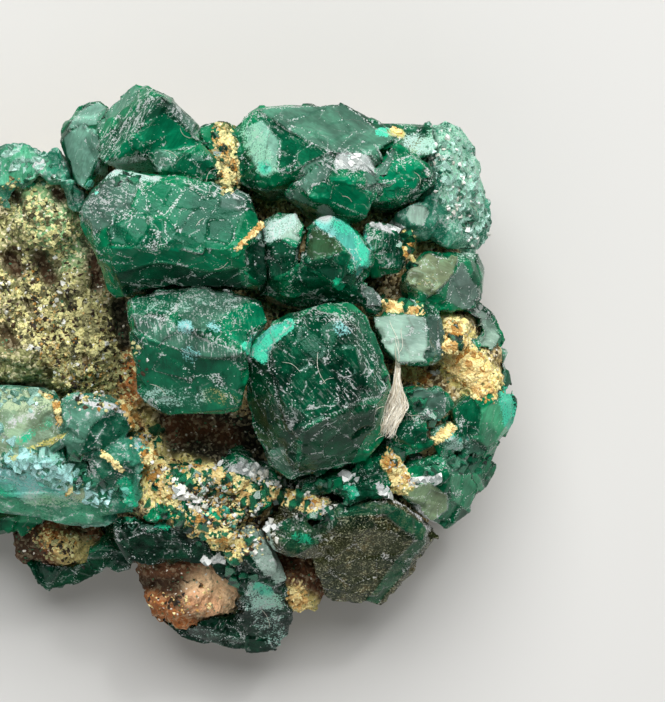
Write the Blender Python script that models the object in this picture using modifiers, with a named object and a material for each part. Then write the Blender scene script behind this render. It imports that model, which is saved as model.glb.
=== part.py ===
"""A loose, hand-sized dioptase specimen lying on its broken back.

Stout emerald crystals stand on a lump of ochre sandy matrix. Crystals that grew into each
other are one solid, and each such group is one object. Their feet follow the matrix, with a
small gap between. Metres, +Z up, origin on the flat back under the middle.
"""

import math
import random

import bmesh
import bpy
from mathutils import Matrix, Vector, noise

MM = 0.001

# The crystals' corners are read off a picture taken from straight above. Across and down are
# the picture's own steps, and heights are millimetres above the flat back.
MM_PER_STEP = 0.07
PICTURE_CENTRE = (332.5, 351.0)
CENTRE_X_MM = 12.0
CENTRE_Y_MM = 1.2
SHARP_HEIGHT_MM = 15.0
EYE_DISTANCE_MM = 273.0

# The gap between solids, and how far a sharp corner's cutter may reach, in gaps.
GAP = 0.25 * MM
CORNER_REACH = 2.5
WELD = 0.002 * MM

# Crystals slant towards the core as they go down, and end in a foot with this many sides.
CORE = (200.0, 350.0)
FOOT_SIDES = 6

# Dioptase: a hexagonal prism under a rhombohedron whose faces lean this far from the axis.
RHOMB_LEAN = math.radians(51.0)
ROOT_TAPER = 0.9

ROCK_VOXEL = 0.7 * MM
ROCK_ROUGHNESS = 0.55 * MM
ROCK_LUMP_SIZE = 2.6 * MM
ROCK_FACES = 1900
FADE, STEP, OCTAVES = 0.8, 2.1, 4

FROSTED = ("frosted_crystal", "upper_left_crystals", "left_slab")

GREEN = (0.012, 0.16, 0.09, 1.0)
PALE_GREEN = (0.16, 0.42, 0.29, 1.0)
OCHRE = (0.42, 0.27, 0.11, 1.0)
CREAM = (0.78, 0.70, 0.54, 1.0)

# Corner lists: (across, down, height). The foot is where the crystal enters the rock: how far
# it lies below the corners, how wide it is, and how far it slants towards the core.
BLOCKS = {
    "center_crystal": [
        {
            "corners": [
                (247, 352, 20.0), (265, 325, 20.5), (290, 313, 20.6), (325, 303, 20.5),
                (348, 302, 20.0), (362, 307, 19.5), (372, 332, 19.0), (386, 362, 18.5),
                (393, 382, 18.0), (389, 402, 17.8), (386, 432, 16.8), (376, 457, 16.4),
                (350, 468, 16.4), (300, 477, 16.4), (290, 481, 16.2), (270, 468, 16.4),
                (256, 432, 17.0), (247, 400, 17.6), (303, 430, 22.6), (347, 411, 22.2),
                (374, 394, 20.6), (256, 364, 20.8), (292, 322, 22.0), (338, 324, 22.4),
            ],
            "foot": {"drop": 11.0, "width": 0.62, "slant": 0.10},
        },
    ],
    "center_left_crystal": [
        {
            "corners": [
                (128, 297, 17.6), (145, 293, 17.8), (178, 297, 18.3), (190, 285, 17.9),
                (232, 290, 18.2), (262, 300, 18.4), (268, 316, 19.2), (246, 349, 21.9),
                (200, 330, 22.1), (134, 319, 20.4), (128, 312, 19.8), (243, 403, 19.4),
                (236, 413, 18.4), (170, 416, 18.0), (148, 406, 18.0), (138, 392, 18.6),
                (133, 345, 20.1),
            ],
            "foot": {"drop": 10.0, "width": 0.6, "slant": 0.10},
        },
    ],
    "long_prism": [
        {
            "corners": [
                (77, 215, 18.3), (85, 196, 18.6), (100, 181, 19.0), (114, 168, 18.6),
                (150, 172, 19.0), (210, 181, 19.6), (250, 195, 19.8), (97, 246, 20.6),
                (160, 249, 22.2), (235, 251, 22.3), (262, 228, 20.8), (268, 290, 18.4),
                (130, 298, 17.2), (112, 297, 16.4), (84, 232, 18.6), (112, 205, 20.6),
            ],
            "foot": {"drop": 10.0, "width": 0.62, "slant": 0.12},
        },
    ],
    "middle_crystals": [
        {
            "corners": [
                (240, 252, 18.8), (262, 238, 20.3), (285, 209, 19.2), (306, 220, 19.4),
                (300, 240, 20.9), (290, 262, 20.6), (250, 288, 17.9), (292, 292, 18.6),
                (243, 236, 18.8), (268, 218, 18.6),
            ],
            "foot": {"drop": 9.0, "width": 0.6, "slant": 0.10},
        },
        {
            "corners": [
                (308, 228, 21.3), (328, 236, 21.6), (346, 262, 21.4), (340, 286, 20.6),
                (300, 268, 21.0), (318, 214, 20.0), (334, 213, 19.8), (350, 222, 19.5),
                (367, 239, 19.0), (375, 257, 18.6), (371, 276, 18.2), (356, 284, 18.6),
            ],
            "foot": {"drop": 9.0, "width": 0.6, "slant": 0.10},
        },
        {
            "corners": [
                (258, 262, 19.4), (300, 264, 20.4), (345, 275, 20.2), (372, 285, 18.6),
                (374, 302, 17.6), (330, 305, 17.8), (290, 303, 17.6), (252, 293, 17.2),
            ],
            "foot": {"drop": 8.0, "width": 0.6, "slant": 0.10},
        },
        {
            "corners": [
                (366, 224, 17.3), (390, 222, 17.3), (404, 240, 17.1), (407, 262, 16.8),
                (398, 274, 16.2), (372, 278, 16.2), (362, 255, 17.3), (386, 246, 18.4),
            ],
            "foot": {"drop": 7.0, "width": 0.6, "slant": 0.10},
        },
    ],
    "top_crystals": [
        {
            "corners": [
                (163, 97, 19.6), (103, 164, 17.8), (160, 155, 17.4), (200, 144, 16.8),
                (201, 138, 16.9), (196, 122, 15.9), (176, 101, 16.4), (155, 88, 16.8),
                (138, 83, 15.8), (116, 97, 15.2), (99, 118, 14.8), (96, 150, 16.2),
            ],
            "foot": {"drop": 8.5, "width": 0.62, "slant": 0.16},
        },
        {
            "corners": [
                (60, 142, 12.9), (64, 125, 12.4), (75, 108, 12.4), (90, 101, 12.4),
                (110, 99, 12.8), (78, 121, 14.9), (96, 136, 15.9), (98, 165, 15.4),
                (88, 191, 14.4), (72, 180, 13.2),
            ],
            "foot": {"drop": 7.0, "width": 0.55, "slant": 0.18},
        },
        {
            "corners": [
                (146, 158, 17.6), (172, 147, 17.2), (198, 138, 16.6), (216, 158, 16.8),
                (224, 180, 17.4), (170, 182, 18.0), (205, 158, 18.2),
            ],
            "foot": {"drop": 7.0, "width": 0.6, "slant": 0.10},
        },
    ],
    "upper_right_crystals": [
        {
            "corners": [
                (236, 120, 13.9), (252, 109, 14.4), (258, 106, 14.3), (300, 103, 14.3),
                (340, 102, 14.3), (362, 113, 14.8), (378, 121, 15.2), (400, 136, 16.6),
                (372, 153, 18.6), (332, 152, 19.3), (300, 166, 18.9), (272, 172, 17.9),
                (262, 191, 16.8), (238, 184, 15.8), (231, 150, 14.4),
            ],
            "foot": {"drop": 8.5, "width": 0.6, "slant": 0.14},
        },
        {
            "corners": [
                (300, 199, 18.2), (326, 178, 19.9), (350, 186, 20.6), (372, 171, 19.2),
                (382, 195, 18.8), (366, 219, 17.6), (350, 221, 17.6), (328, 213, 18.1),
                (333, 155, 18.7), (366, 154, 18.3), (280, 192, 18.0),
            ],
            "foot": {"drop": 8.5, "width": 0.6, "slant": 0.10},
        },
        {
            "corners": [
                (396, 142, 18.0), (370, 176, 18.2), (366, 202, 17.2), (396, 207, 17.2),
                (436, 188, 17.0), (441, 172, 16.9), (420, 155, 17.3), (409, 180, 18.7),
            ],
            "foot": {"drop": 7.5, "width": 0.6, "slant": 0.12},
        },
        {
            "corners": [
                (364, 121, 14.0), (405, 123, 13.7), (432, 122, 13.6), (440, 150, 15.7),
                (412, 160, 16.8), (386, 144, 16.0),
            ],
            "foot": {"drop": 6.5, "width": 0.6, "slant": 0.14},
        },
        {
            "corners": [
                (198, 124, 13.8), (214, 121, 13.6), (246, 124, 13.8), (250, 150, 15.0),
                (226, 172, 16.4), (208, 158, 16.2), (200, 142, 15.2),
            ],
            "foot": {"drop": 6.0, "width": 0.6, "slant": 0.14},
        },
    ],
    "frosted_crystal": [
        {
            "corners": [
                (434, 124, 12.9), (440, 118, 12.4), (452, 121, 11.9), (463, 128, 11.4),
                (472, 139, 11.2), (478, 160, 11.6), (481, 178, 11.6), (490, 205, 11.0),
                (493, 217, 11.0), (490, 238, 11.0), (478, 251, 11.6), (450, 249, 14.0),
                (430, 237, 15.0), (424, 205, 16.2), (440, 172, 16.4), (446, 148, 15.6),
                (468, 190, 14.4),
            ],
            "foot": {"drop": 7.5, "width": 0.6, "slant": 0.16},
        },
        {
            "corners": [
                (401, 203, 16.9), (420, 199, 16.9), (440, 214, 16.3), (438, 230, 15.8),
                (410, 225, 16.5), (396, 212, 15.8), (398, 238, 15.2), (428, 240, 15.0),
            ],
            "foot": {"drop": 6.0, "width": 0.6, "slant": 0.10},
        },
    ],
    "right_crystals": [
        {
            "corners": [
                (402, 277, 16.3), (424, 252, 15.8), (455, 254, 14.8), (470, 262, 14.0),
                (480, 283, 12.9), (478, 308, 13.2), (452, 313, 15.2), (410, 304, 16.3),
                (432, 282, 17.3), (479, 252, 11.4), (485, 266, 10.8), (484, 296, 10.8),
            ],
            "foot": {"drop": 7.0, "width": 0.6, "slant": 0.16},
        },
        {
            "corners": [
                (371, 314, 17.5), (390, 306, 16.9), (428, 306, 16.9), (432, 336, 17.9),
                (427, 366, 17.5), (400, 363, 17.7), (386, 350, 17.9), (446, 340, 15.8),
                (446, 363, 15.3), (440, 306, 15.9),
            ],
            "foot": {"drop": 7.0, "width": 0.6, "slant": 0.10},
        },
        {
            "corners": [
                (464, 312, 13.6), (482, 300, 12.3), (500, 325, 10.9), (506, 340, 10.3),
                (500, 352, 10.8), (488, 355, 12.2), (455, 349, 13.5), (478, 358, 13.0),
            ],
            "foot": {"drop": 6.0, "width": 0.62, "slant": 0.18},
        },
        {
            "corners": [
                (485, 350, 12.3), (505, 345, 9.9), (511, 372, 9.3), (513, 391, 9.3),
                (497, 389, 11.3), (482, 362, 12.3),
            ],
            "foot": {"drop": 5.5, "width": 0.62, "slant": 0.18},
        },
    ],
    "right_rim_crystals": [
        {
            "corners": [
                (455, 411, 14.3), (470, 396, 13.7), (490, 384, 12.3), (508, 385, 10.4),
                (517, 397, 9.4), (518, 410, 9.4), (508, 430, 9.6), (500, 450, 9.6),
                (480, 461, 11.7), (462, 451, 13.2), (494, 401, 13.2), (496, 434, 12.4),
            ],
            "foot": {"drop": 6.0, "width": 0.6, "slant": 0.18},
        },
        {
            "corners": [
                (470, 455, 11.9), (500, 450, 9.4), (497, 470, 8.8), (487, 487, 8.6),
                (470, 502, 9.2), (458, 482, 12.0),
            ],
            "foot": {"drop": 5.0, "width": 0.6, "slant": 0.18},
        },
        {
            "corners": [
                (432, 431, 15.3), (450, 425, 14.9), (465, 430, 14.3), (468, 451, 13.5),
                (440, 457, 14.6), (450, 440, 15.6),
            ],
            "foot": {"drop": 6.0, "width": 0.6, "slant": 0.12},
        },
        {
            "corners": [
                (410, 463, 14.9), (440, 456, 14.8), (468, 462, 13.0), (478, 486, 11.2),
                (471, 513, 9.6), (448, 527, 10.2), (438, 530, 11.6), (404, 497, 14.3),
                (400, 480, 14.8), (440, 484, 14.9),
            ],
            "foot": {"drop": 6.0, "width": 0.6, "slant": 0.16},
        },
    ],
    "lower_middle_crystals": [
        {
            "corners": [
                (385, 441, 15.4), (396, 422, 16.4), (420, 418, 16.4), (433, 428, 15.9),
                (434, 446, 15.3), (406, 462, 14.9), (388, 459, 14.9), (410, 436, 16.9),
            ],
            "foot": {"drop": 6.5, "width": 0.6, "slant": 0.10},
        },
        {
            "corners": [
                (402, 388, 16.4), (430, 383, 16.2), (452, 390, 15.4), (455, 406, 15.1),
                (440, 424, 15.2), (404, 424, 16.0), (424, 400, 17.0),
            ],
            "foot": {"drop": 6.5, "width": 0.6, "slant": 0.10},
        },
        {
            "corners": [
                (352, 471, 15.4), (382, 440, 15.9), (396, 458, 15.2), (392, 486, 14.9),
                (360, 493, 15.1), (374, 470, 16.6),
            ],
            "foot": {"drop": 6.0, "width": 0.6, "slant": 0.10},
        },
        {
            "corners": [
                (293, 489, 15.0), (310, 479, 15.6), (358, 472, 15.6), (346, 494, 15.0),
                (305, 498, 14.6), (320, 484, 16.2),
            ],
            "foot": {"drop": 6.0, "width": 0.6, "slant": 0.10},
        },
        {
            "corners": [
                (334, 496, 15.0), (344, 484, 16.1), (362, 485, 16.0), (368, 497, 15.1),
                (386, 483, 15.9), (392, 496, 15.1), (352, 506, 14.9),
            ],
            "foot": {"drop": 6.0, "width": 0.6, "slant": 0.10},
        },
    ],
    "lower_right_crystals": [
        {
            "corners": [
                (335, 500, 14.4), (360, 492, 14.7), (393, 497, 14.9), (436, 531, 11.3),
                (440, 537, 10.8), (424, 553, 9.3), (415, 566, 8.8), (405, 582, 7.8),
                (392, 600, 7.2), (378, 606, 7.2), (365, 601, 7.6), (340, 603, 7.7),
                (325, 600, 8.2), (316, 575, 11.2), (310, 545, 13.7), (320, 520, 15.0),
                (362, 520, 15.3), (415, 541, 12.6),
            ],
            "foot": {"drop": 7.0, "width": 0.55, "slant": 0.20},
        },
        {
            "corners": [
                (262, 532, 14.2), (276, 521, 14.7), (302, 518, 15.0), (318, 530, 14.7),
                (318, 560, 12.9), (300, 562, 12.9), (274, 550, 13.7), (296, 536, 15.4),
            ],
            "foot": {"drop": 6.0, "width": 0.6, "slant": 0.14},
        },
        {
            "corners": [
                (275, 512, 14.9), (290, 503, 15.3), (316, 505, 15.3), (336, 502, 15.1),
                (334, 514, 14.7), (306, 521, 14.7),
            ],
            "foot": {"drop": 5.0, "width": 0.7, "slant": 0.10},
        },
    ],
    "bottom_crystals": [
        {
            "corners": [
                (243, 529, 14.7), (255, 527, 15.0), (268, 548, 14.1), (285, 578, 11.8),
                (290, 600, 9.8), (294, 620, 7.8), (288, 641, 6.3), (275, 650, 5.8),
                (250, 655, 5.6), (232, 653, 5.8), (243, 630, 8.0), (246, 590, 11.4),
                (240, 560, 13.0),
            ],
            "foot": {"drop": 6.0, "width": 0.5, "slant": 0.20},
        },
        {
            "corners": [
                (112, 522, 13.2), (135, 530, 13.6), (175, 529, 14.1), (206, 533, 14.1),
                (216, 560, 12.4), (190, 566, 11.6), (130, 566, 11.0), (117, 550, 11.3),
            ],
            "foot": {"drop": 6.0, "width": 0.6, "slant": 0.16},
        },
        {
            "corners": [
                (202, 560, 12.6), (222, 541, 13.6), (252, 552, 13.4), (252, 590, 10.8),
                (226, 582, 10.9),
            ],
            "foot": {"drop": 5.0, "width": 0.6, "slant": 0.14},
        },
        {
            "corners": [
                (131, 571, 9.0), (140, 592, 7.9), (156, 616, 6.6), (180, 636, 5.8),
                (205, 645, 5.6), (246, 653, 5.6), (250, 636, 7.2), (196, 624, 8.2),
                (166, 600, 9.2), (148, 576, 10.0),
            ],
            "foot": {"drop": 4.0, "width": 0.55, "slant": 0.14},
        },
    ],
    "left_slab": [
        {
            "corners": [
                (0, 386, 15.2), (30, 390, 15.5), (58, 402, 15.2), (52, 452, 15.7),
                (20, 470, 15.6), (-34, 465, 14.7), (-56, 430, 13.6), (-44, 396, 14.1),
            ],
            "foot": {"drop": 7.0, "width": 0.62, "slant": 0.12},
        },
        {
            "corners": [
                (-52, 450, 13.9), (0, 462, 15.2), (50, 455, 15.8), (100, 480, 15.1),
                (136, 500, 13.8), (131, 521, 12.3), (100, 530, 11.7), (60, 518, 12.1),
                (20, 511, 12.4), (0, 512, 12.2), (-48, 503, 11.6),
            ],
            "foot": {"drop": 5.5, "width": 0.6, "slant": 0.14},
        },
        {
            "corners": [
                (55, 420, 15.8), (60, 402, 15.6), (72, 393, 15.8), (95, 394, 16.1),
                (130, 410, 15.6), (135, 425, 15.1), (110, 455, 15.6), (75, 462, 15.3),
                (56, 447, 15.5), (84, 424, 17.1),
            ],
            "foot": {"drop": 7.0, "width": 0.62, "slant": 0.10},
        },
        {
            "corners": [
                (84, 456, 15.2), (110, 452, 15.9), (124, 440, 16.0), (143, 438, 15.8),
                (144, 470, 15.4), (112, 492, 14.6), (92, 476, 15.0), (126, 460, 16.6),
            ],
            "foot": {"drop": 6.0, "width": 0.6, "slant": 0.12},
        },
        {
            "corners": [
                (116, 494, 14.4), (132, 474, 15.5), (142, 478, 15.4), (140, 505, 14.1),
                (128, 518, 13.0), (118, 512, 13.2),
            ],
            "foot": {"drop": 5.0, "width": 0.6, "slant": 0.12},
        },
    ],
    "lower_left_crystals": [
        {
            "corners": [
                (26, 560, 5.4), (24, 550, 5.9), (35, 540, 7.0), (50, 548, 7.0),
                (57, 571, 6.5), (104, 570, 6.1), (106, 560, 6.6), (80, 583, 4.9),
                (52, 593, 4.3), (38, 584, 4.8),
            ],
            "foot": {"drop": 3.0, "width": 0.55, "slant": 0.16},
        },
        {
            "corners": [
                (92, 570, 6.6), (128, 575, 6.6), (130, 556, 8.3), (100, 543, 8.8),
                (82, 554, 7.8),
            ],
            "foot": {"drop": 3.5, "width": 0.6, "slant": 0.16},
        },
        {
            "corners": [
                (-34, 522, 8.0), (16, 515, 8.6), (13, 534, 7.6), (0, 538, 7.0),
                (-32, 534, 6.5),
            ],
            "foot": {"drop": 4.0, "width": 0.6, "slant": 0.16},
        },
    ],
    "upper_left_crystals": [
        {
            "corners": [
                (0, 143, 12.4), (28, 142, 12.4), (41, 151, 13.2), (34, 176, 13.8),
                (22, 184, 13.5), (-10, 186, 13.2), (-30, 168, 12.4), (-24, 149, 12.0),
            ],
            "foot": {"drop": 6.0, "width": 0.6, "slant": 0.14},
        },
        {
            "corners": [
                (32, 158, 13.6), (45, 151, 13.3), (60, 145, 12.6), (66, 160, 13.2),
                (68, 178, 13.2), (46, 181, 13.7), (36, 172, 14.2),
            ],
            "foot": {"drop": 6.0, "width": 0.6, "slant": 0.14},
        },
        {
            "corners": [
                (58, 172, 13.4), (73, 176, 14.6), (80, 196, 14.3), (77, 213, 13.6),
                (67, 205, 13.2),
            ],
            "foot": {"drop": 5.0, "width": 0.7, "slant": 0.10},
        },
        {
            "corners": [
                (-30, 178, 12.6), (0, 186, 13.0), (12, 190, 12.6), (8, 212, 12.0),
                (-24, 214, 11.6), (-44, 196, 11.4),
            ],
            "foot": {"drop": 5.5, "width": 0.6, "slant": 0.14},
        },
    ],
}

# Whole crystals with their prism and rhombohedron: where the tip is, the way it leans
# (degrees from +X, and degrees off upright), its radius and length in millimetres.
PRISMS = {
    "far_left_crystals": [
        ((-70, 170, 14.2), 112, 30, 2.9, 9.0),
        ((-114, 192, 13.2), 136, 42, 2.7, 9.0),
        ((-148, 240, 12.0), 158, 50, 2.9, 9.5),
        ((-100, 240, 14.6), 150, 16, 2.2, 8.0),
    ],
    "far_left_rim_crystals": [
        ((-176, 304, 10.8), 176, 54, 3.0, 9.5),
        ((-174, 366, 11.4), 190, 46, 2.8, 9.0),
        ((-150, 426, 11.6), 208, 44, 3.1, 10.0),
        ((-104, 472, 12.0), 234, 40, 2.8, 9.0),
        ((-112, 410, 14.4), 205, 18, 2.2, 8.0),
        ((-130, 334, 13.8), 180, 22, 2.1, 8.0),
    ],
    "sand_crystals": [
        ((176, 494, 15.6), 250, 22, 1.4, 4.0),
        ((198, 492, 15.7), 300, 18, 1.3, 4.0),
        ((232, 508, 15.4), 60, 24, 1.3, 4.0),
        ((164, 512, 15.0), 235, 26, 1.2, 4.0),
        ((192, 530, 14.8), 265, 30, 1.1, 3.6),
        ((228, 527, 14.9), 20, 20, 1.1, 3.6),
        ((206, 515, 15.2), 90, 12, 1.0, 3.6),
        ((148, 520, 14.2), 215, 32, 1.2, 4.0),
        ((186, 474, 15.2), 150, 16, 1.1, 4.0),
    ],
    "hollow_crystals": [
        ((222, 466, 15.2), 70, 34, 1.3, 4.0),
        ((244, 460, 15.6), 40, 26, 1.2, 4.2),
        ((256, 478, 14.9), 330, 30, 1.4, 4.2),
        ((274, 489, 14.9), 300, 26, 0.9, 3.6),
        ((258, 508, 14.9), 280, 20, 1.1, 3.6),
    ],
    "middle_crystals": [
        ((374, 300, 18.6), 90, 6, 0.85, 4.0),
    ],
    "right_crystals": [
        ((438, 372, 16.6), 40, 14, 0.75, 4.0),
        ((452, 342, 15.0), 350, 34, 0.9, 3.6),
        ((418, 344, 17.6), 320, 8, 0.8, 4.0),
    ],
}

# Flank crystals: how high the tips are and how thick and long they are, in millimetres, and
# how far they lean, in degrees off upright.
FLANK_HEIGHTS = (5.6, 9.4)
FLANK_RADII = (1.8, 2.7)
FLANK_LENGTHS = (7.0, 8.5)
FLANK_LEANS = (56, 82)

# Flank crystals below the rim, which the view from above hides: how many stand along each
# stretch of the outline, given as (across, down) at its two ends, and which way they point.
# They grow into the group that they stand under.
FLANKS = {
    "upper_right_crystals": {
        "from": (250, 124),
        "to": (372, 122),
        "count": 5,
        "outward": 92,
        "seed": 3,
    },
    "frosted_crystal": {
        "from": (454, 138),
        "to": (482, 236),
        "count": 4,
        "outward": 18,
        "seed": 11,
    },
    "right_crystals": {
        "from": (472, 262),
        "to": (498, 372),
        "count": 5,
        "outward": 2,
        "seed": 12,
    },
    "right_rim_crystals": {
        "from": (506, 404),
        "to": (454, 512),
        "count": 5,
        "outward": 332,
        "seed": 5,
    },
    "lower_right_crystals": {
        "from": (422, 544),
        "to": (334, 592),
        "count": 4,
        "outward": 290,
        "seed": 6,
    },
    "lower_left_crystals": {
        "from": (110, 564),
        "to": (-60, 518),
        "count": 5,
        "outward": 262,
        "seed": 8,
    },
    "top_crystals": {
        "from": (188, 120),
        "to": (76, 124),
        "count": 4,
        "outward": 92,
        "seed": 14,
    },
    "upper_left_crystals": {
        "from": (52, 158),
        "to": (-56, 162),
        "count": 4,
        "outward": 108,
        "seed": 15,
    },
    "far_left_crystals": {
        "from": (-112, 196),
        "to": (-166, 290),
        "count": 4,
        "outward": 158,
        "seed": 21,
    },
    "far_left_rim_crystals": {
        "from": (-170, 330),
        "to": (-120, 492),
        "count": 5,
        "outward": 198,
        "seed": 22,
    },
}

# Lumps that make up the matrix: (across, down, height) of the middle, then three radii in mm.
ROCK_LUMPS = {
    "core": ((235, 340, 4.5), (14.0, 11.4, 8.4)),
    "left_floor": ((10, 305, 3.5), (12.0, 8.6, 8.2)),
    "green_knob": ((44, 218, 9.6), (2.6, 3.2, 4.2)),
    "granular_slope": ((92, 318, 8.2), (3.4, 6.2, 5.2)),
    "left_ridge": ((-8, 262, 8.0), (3.0, 3.6, 4.2)),
    "left_boss": ((22, 352, 8.0), (4.0, 2.6, 4.8)),
    "base": ((205, 345, 0.5), (17.0, 12.0, 3.5)),
    "upper_left": ((20, 204, 4.6), (8.0, 3.0, 6.8)),
    "top": ((150, 180, 5.0), (5.4, 3.0, 8.0)),
    "sandy_gap": ((224, 158, 9.4), (1.8, 2.3, 4.4)),
    "upper_right": ((350, 200, 5.0), (7.6, 4.2, 8.4)),
    "right": ((410, 318, 5.0), (4.2, 9.4, 8.2)),
    "sand_patch": ((470, 366, 9.4), (2.2, 2.6, 4.0)),
    "sand_seam": ((452, 330, 10.6), (1.6, 2.2, 4.2)),
    "mid_right": ((415, 420, 6.0), (4.2, 5.0, 8.2)),
    "sandy_middle": ((196, 492, 8.6), (6.6, 3.6, 5.6)),
    "left_shelf": ((20, 450, 5.0), (8.0, 3.8, 7.6)),
    "bottom": ((210, 550, 4.6), (5.4, 4.2, 6.4)),
    "brown_face": ((190, 590, 6.4), (3.3, 2.4, 4.2)),
    "orange_pocket": ((60, 540, 4.4), (3.4, 2.0, 4.0)),
    "lower_right": ((345, 510, 4.2), (6.0, 3.8, 6.8)),
    "orange_seam": ((296, 578, 5.0), (2.0, 2.2, 5.0)),
    "far_left": ((-80, 345, 4.0), (4.6, 7.0, 7.0)),
}

LINT = [
    (398, 360, 18.6), (401, 376, 18.5), (392, 386, 18.7), (387, 410, 18.5),
    (380, 432, 18.1), (388, 437, 18.0), (400, 424, 17.9), (404, 404, 18.1),
]
LINT_THICKNESS = 0.5 * MM


def place(across, down, height_mm):
    """A corner read off the picture, at its height, in metres in the part's frame."""
    nearer = (EYE_DISTANCE_MM - (height_mm - SHARP_HEIGHT_MM)) / EYE_DISTANCE_MM
    x_mm = CENTRE_X_MM + (across - PICTURE_CENTRE[0]) * MM_PER_STEP * nearer
    y_mm = CENTRE_Y_MM - (down - PICTURE_CENTRE[1]) * MM_PER_STEP * nearer
    return Vector((x_mm, y_mm, height_mm)) * MM


def clear_scene():
    for old in list(bpy.data.objects):
        bpy.data.objects.remove(old, do_unlink=True)


def new_collection(name):
    collection = bpy.data.collections.new(name)
    bpy.context.scene.collection.children.link(collection)
    return collection


def new_material(name, colour, roughness, transmission=0.0):
    material = bpy.data.materials.new(name)
    material.use_nodes = True
    shader = material.node_tree.nodes["Principled BSDF"]
    shader.inputs["Base Color"].default_value = colour
    shader.inputs["Roughness"].default_value = roughness
    shader.inputs["Transmission Weight"].default_value = transmission
    shader.inputs["IOR"].default_value = 1.66
    return material


def add_object(name, bm, collection):
    """The bmesh as an object of that collection. The bmesh is freed."""
    mesh = bpy.data.meshes.new(name)
    bm.to_mesh(mesh)
    bm.free()
    made = bpy.data.objects.new(name, mesh)
    collection.objects.link(made)
    return made


def hull_of(points):
    """A bmesh with flat faces round the points, facing out."""
    bm = bmesh.new()
    for point in points:
        bm.verts.new(point)
    made = bmesh.ops.convex_hull(bm, input=bm.verts, use_existing_faces=False)
    inside = set(made["geom_interior"]) | set(made["geom_unused"])
    inner_verts = [part for part in inside if isinstance(part, bmesh.types.BMVert)]
    bmesh.ops.delete(bm, geom=inner_verts, context="VERTS")
    bmesh.ops.recalc_face_normals(bm, faces=bm.faces)
    return bm


def block_crystal(block):
    """A broken or crowded crystal: its corners, and the narrower foot it stands on."""
    corners = [place(*corner) for corner in block["corners"]]
    foot = block["foot"]
    middle = sum(corners, Vector()) / len(corners)
    reach = sum((corner - middle).xy.length for corner in corners) / len(corners)
    to_core = place(*CORE, SHARP_HEIGHT_MM) - middle
    foot_middle = middle + Vector((to_core.x, to_core.y, 0.0)) * foot["slant"]
    foot_middle.z = middle.z - foot["drop"] * MM
    for side in range(FOOT_SIDES):
        turn = 2 * math.pi * side / FOOT_SIDES
        out = Vector((math.cos(turn), math.sin(turn), 0.0))
        corners.append(foot_middle + out * reach * foot["width"])
    return hull_of(corners)


def prism_crystal(tip, lean_way, lean, radius_mm, length_mm, twist):
    """A dioptase prism under its rhombohedron, the tip at its place and the root in the rock."""
    length = length_mm * MM
    bm = bmesh.new()
    bmesh.ops.create_cone(
        bm, cap_ends=True, segments=6, depth=length,
        radius1=radius_mm * MM * ROOT_TAPER, radius2=radius_mm * MM,
        matrix=Matrix.Translation((0.0, 0.0, -length / 2)),
    )
    for face in range(3):
        turn = Matrix.Rotation(2 * math.pi * face / 3, 3, "Z")
        slope = turn @ Vector((math.sin(RHOMB_LEAN), 0.0, math.cos(RHOMB_LEAN)))
        bmesh.ops.bisect_plane(
            bm, geom=bm.verts[:] + bm.edges[:] + bm.faces[:], plane_co=(0, 0, 0),
            plane_no=slope, clear_outer=True,
        )
        open_edges = [edge for edge in bm.edges if edge.is_boundary]
        bmesh.ops.holes_fill(bm, edges=open_edges, sides=0)
    standing = (
        Matrix.Translation(place(*tip))
        @ Matrix.Rotation(math.radians(lean_way), 4, "Z")
        @ Matrix.Rotation(math.radians(lean), 4, "Y")
        @ Matrix.Rotation(math.radians(twist), 4, "Z")
    )
    bmesh.ops.transform(bm, matrix=standing, verts=bm.verts)
    bmesh.ops.recalc_face_normals(bm, faces=bm.faces)
    return bm


def flank_prisms(flank):
    """Prisms side by side along one stretch of the outline, leaning out under the rim."""
    dice = random.Random(flank["seed"])
    prisms = []
    for index in range(flank["count"]):
        along = (index + 0.5) / flank["count"]
        across = flank["from"][0] + along * (flank["to"][0] - flank["from"][0])
        down = flank["from"][1] + along * (flank["to"][1] - flank["from"][1])
        height = dice.uniform(*FLANK_HEIGHTS)
        lean_way = flank["outward"] + dice.uniform(-22, 22)
        lean = dice.uniform(*FLANK_LEANS)
        radius = dice.uniform(*FLANK_RADII)
        length = dice.uniform(*FLANK_LENGTHS)
        prisms.append(((across, down, height), lean_way, lean, radius, length))
    return prisms


def evaluated_bmesh(obj):
    graph = bpy.context.evaluated_depsgraph_get()
    bm = bmesh.new()
    bm.from_mesh(obj.evaluated_get(graph).to_mesh())
    return bm


def islands(bm):
    """The mesh's separate bodies, each a set of faces."""
    left = set(bm.faces)
    found = []
    while left:
        front = [left.pop()]
        island = set(front)
        while front:
            face = front.pop()
            for edge in face.edges:
                for other in edge.link_faces:
                    if other in left:
                        left.discard(other)
                        island.add(other)
                        front.append(other)
        found.append(island)
    return found


def keep_largest(bm):
    """Drops the small bits that a cut or a remesh leaves beside the main body."""
    bodies = sorted(islands(bm), key=lambda body: sum(face.calc_area() for face in body))
    crumbs = [face for body in bodies[:-1] for face in body]
    bmesh.ops.delete(bm, geom=crumbs, context="FACES")
    loose = [vert for vert in bm.verts if not vert.link_faces]
    bmesh.ops.delete(bm, geom=loose, context="VERTS")


def boolean(obj, operation, collection):
    modifier = obj.modifiers.new(operation.lower(), "BOOLEAN")
    modifier.operation = operation
    modifier.operand_type = "COLLECTION"
    modifier.collection = collection
    modifier.solver = "EXACT"


def settle(obj, collection):
    """Replaces the object by what its modifiers make of it, as one clean body."""
    bm = evaluated_bmesh(obj)
    bmesh.ops.remove_doubles(bm, verts=bm.verts, dist=WELD)
    bmesh.ops.dissolve_degenerate(bm, edges=bm.edges, dist=WELD)
    keep_largest(bm)
    name = obj.name
    bpy.data.objects.remove(obj, do_unlink=True)
    return add_object(name, bm, collection)


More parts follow.
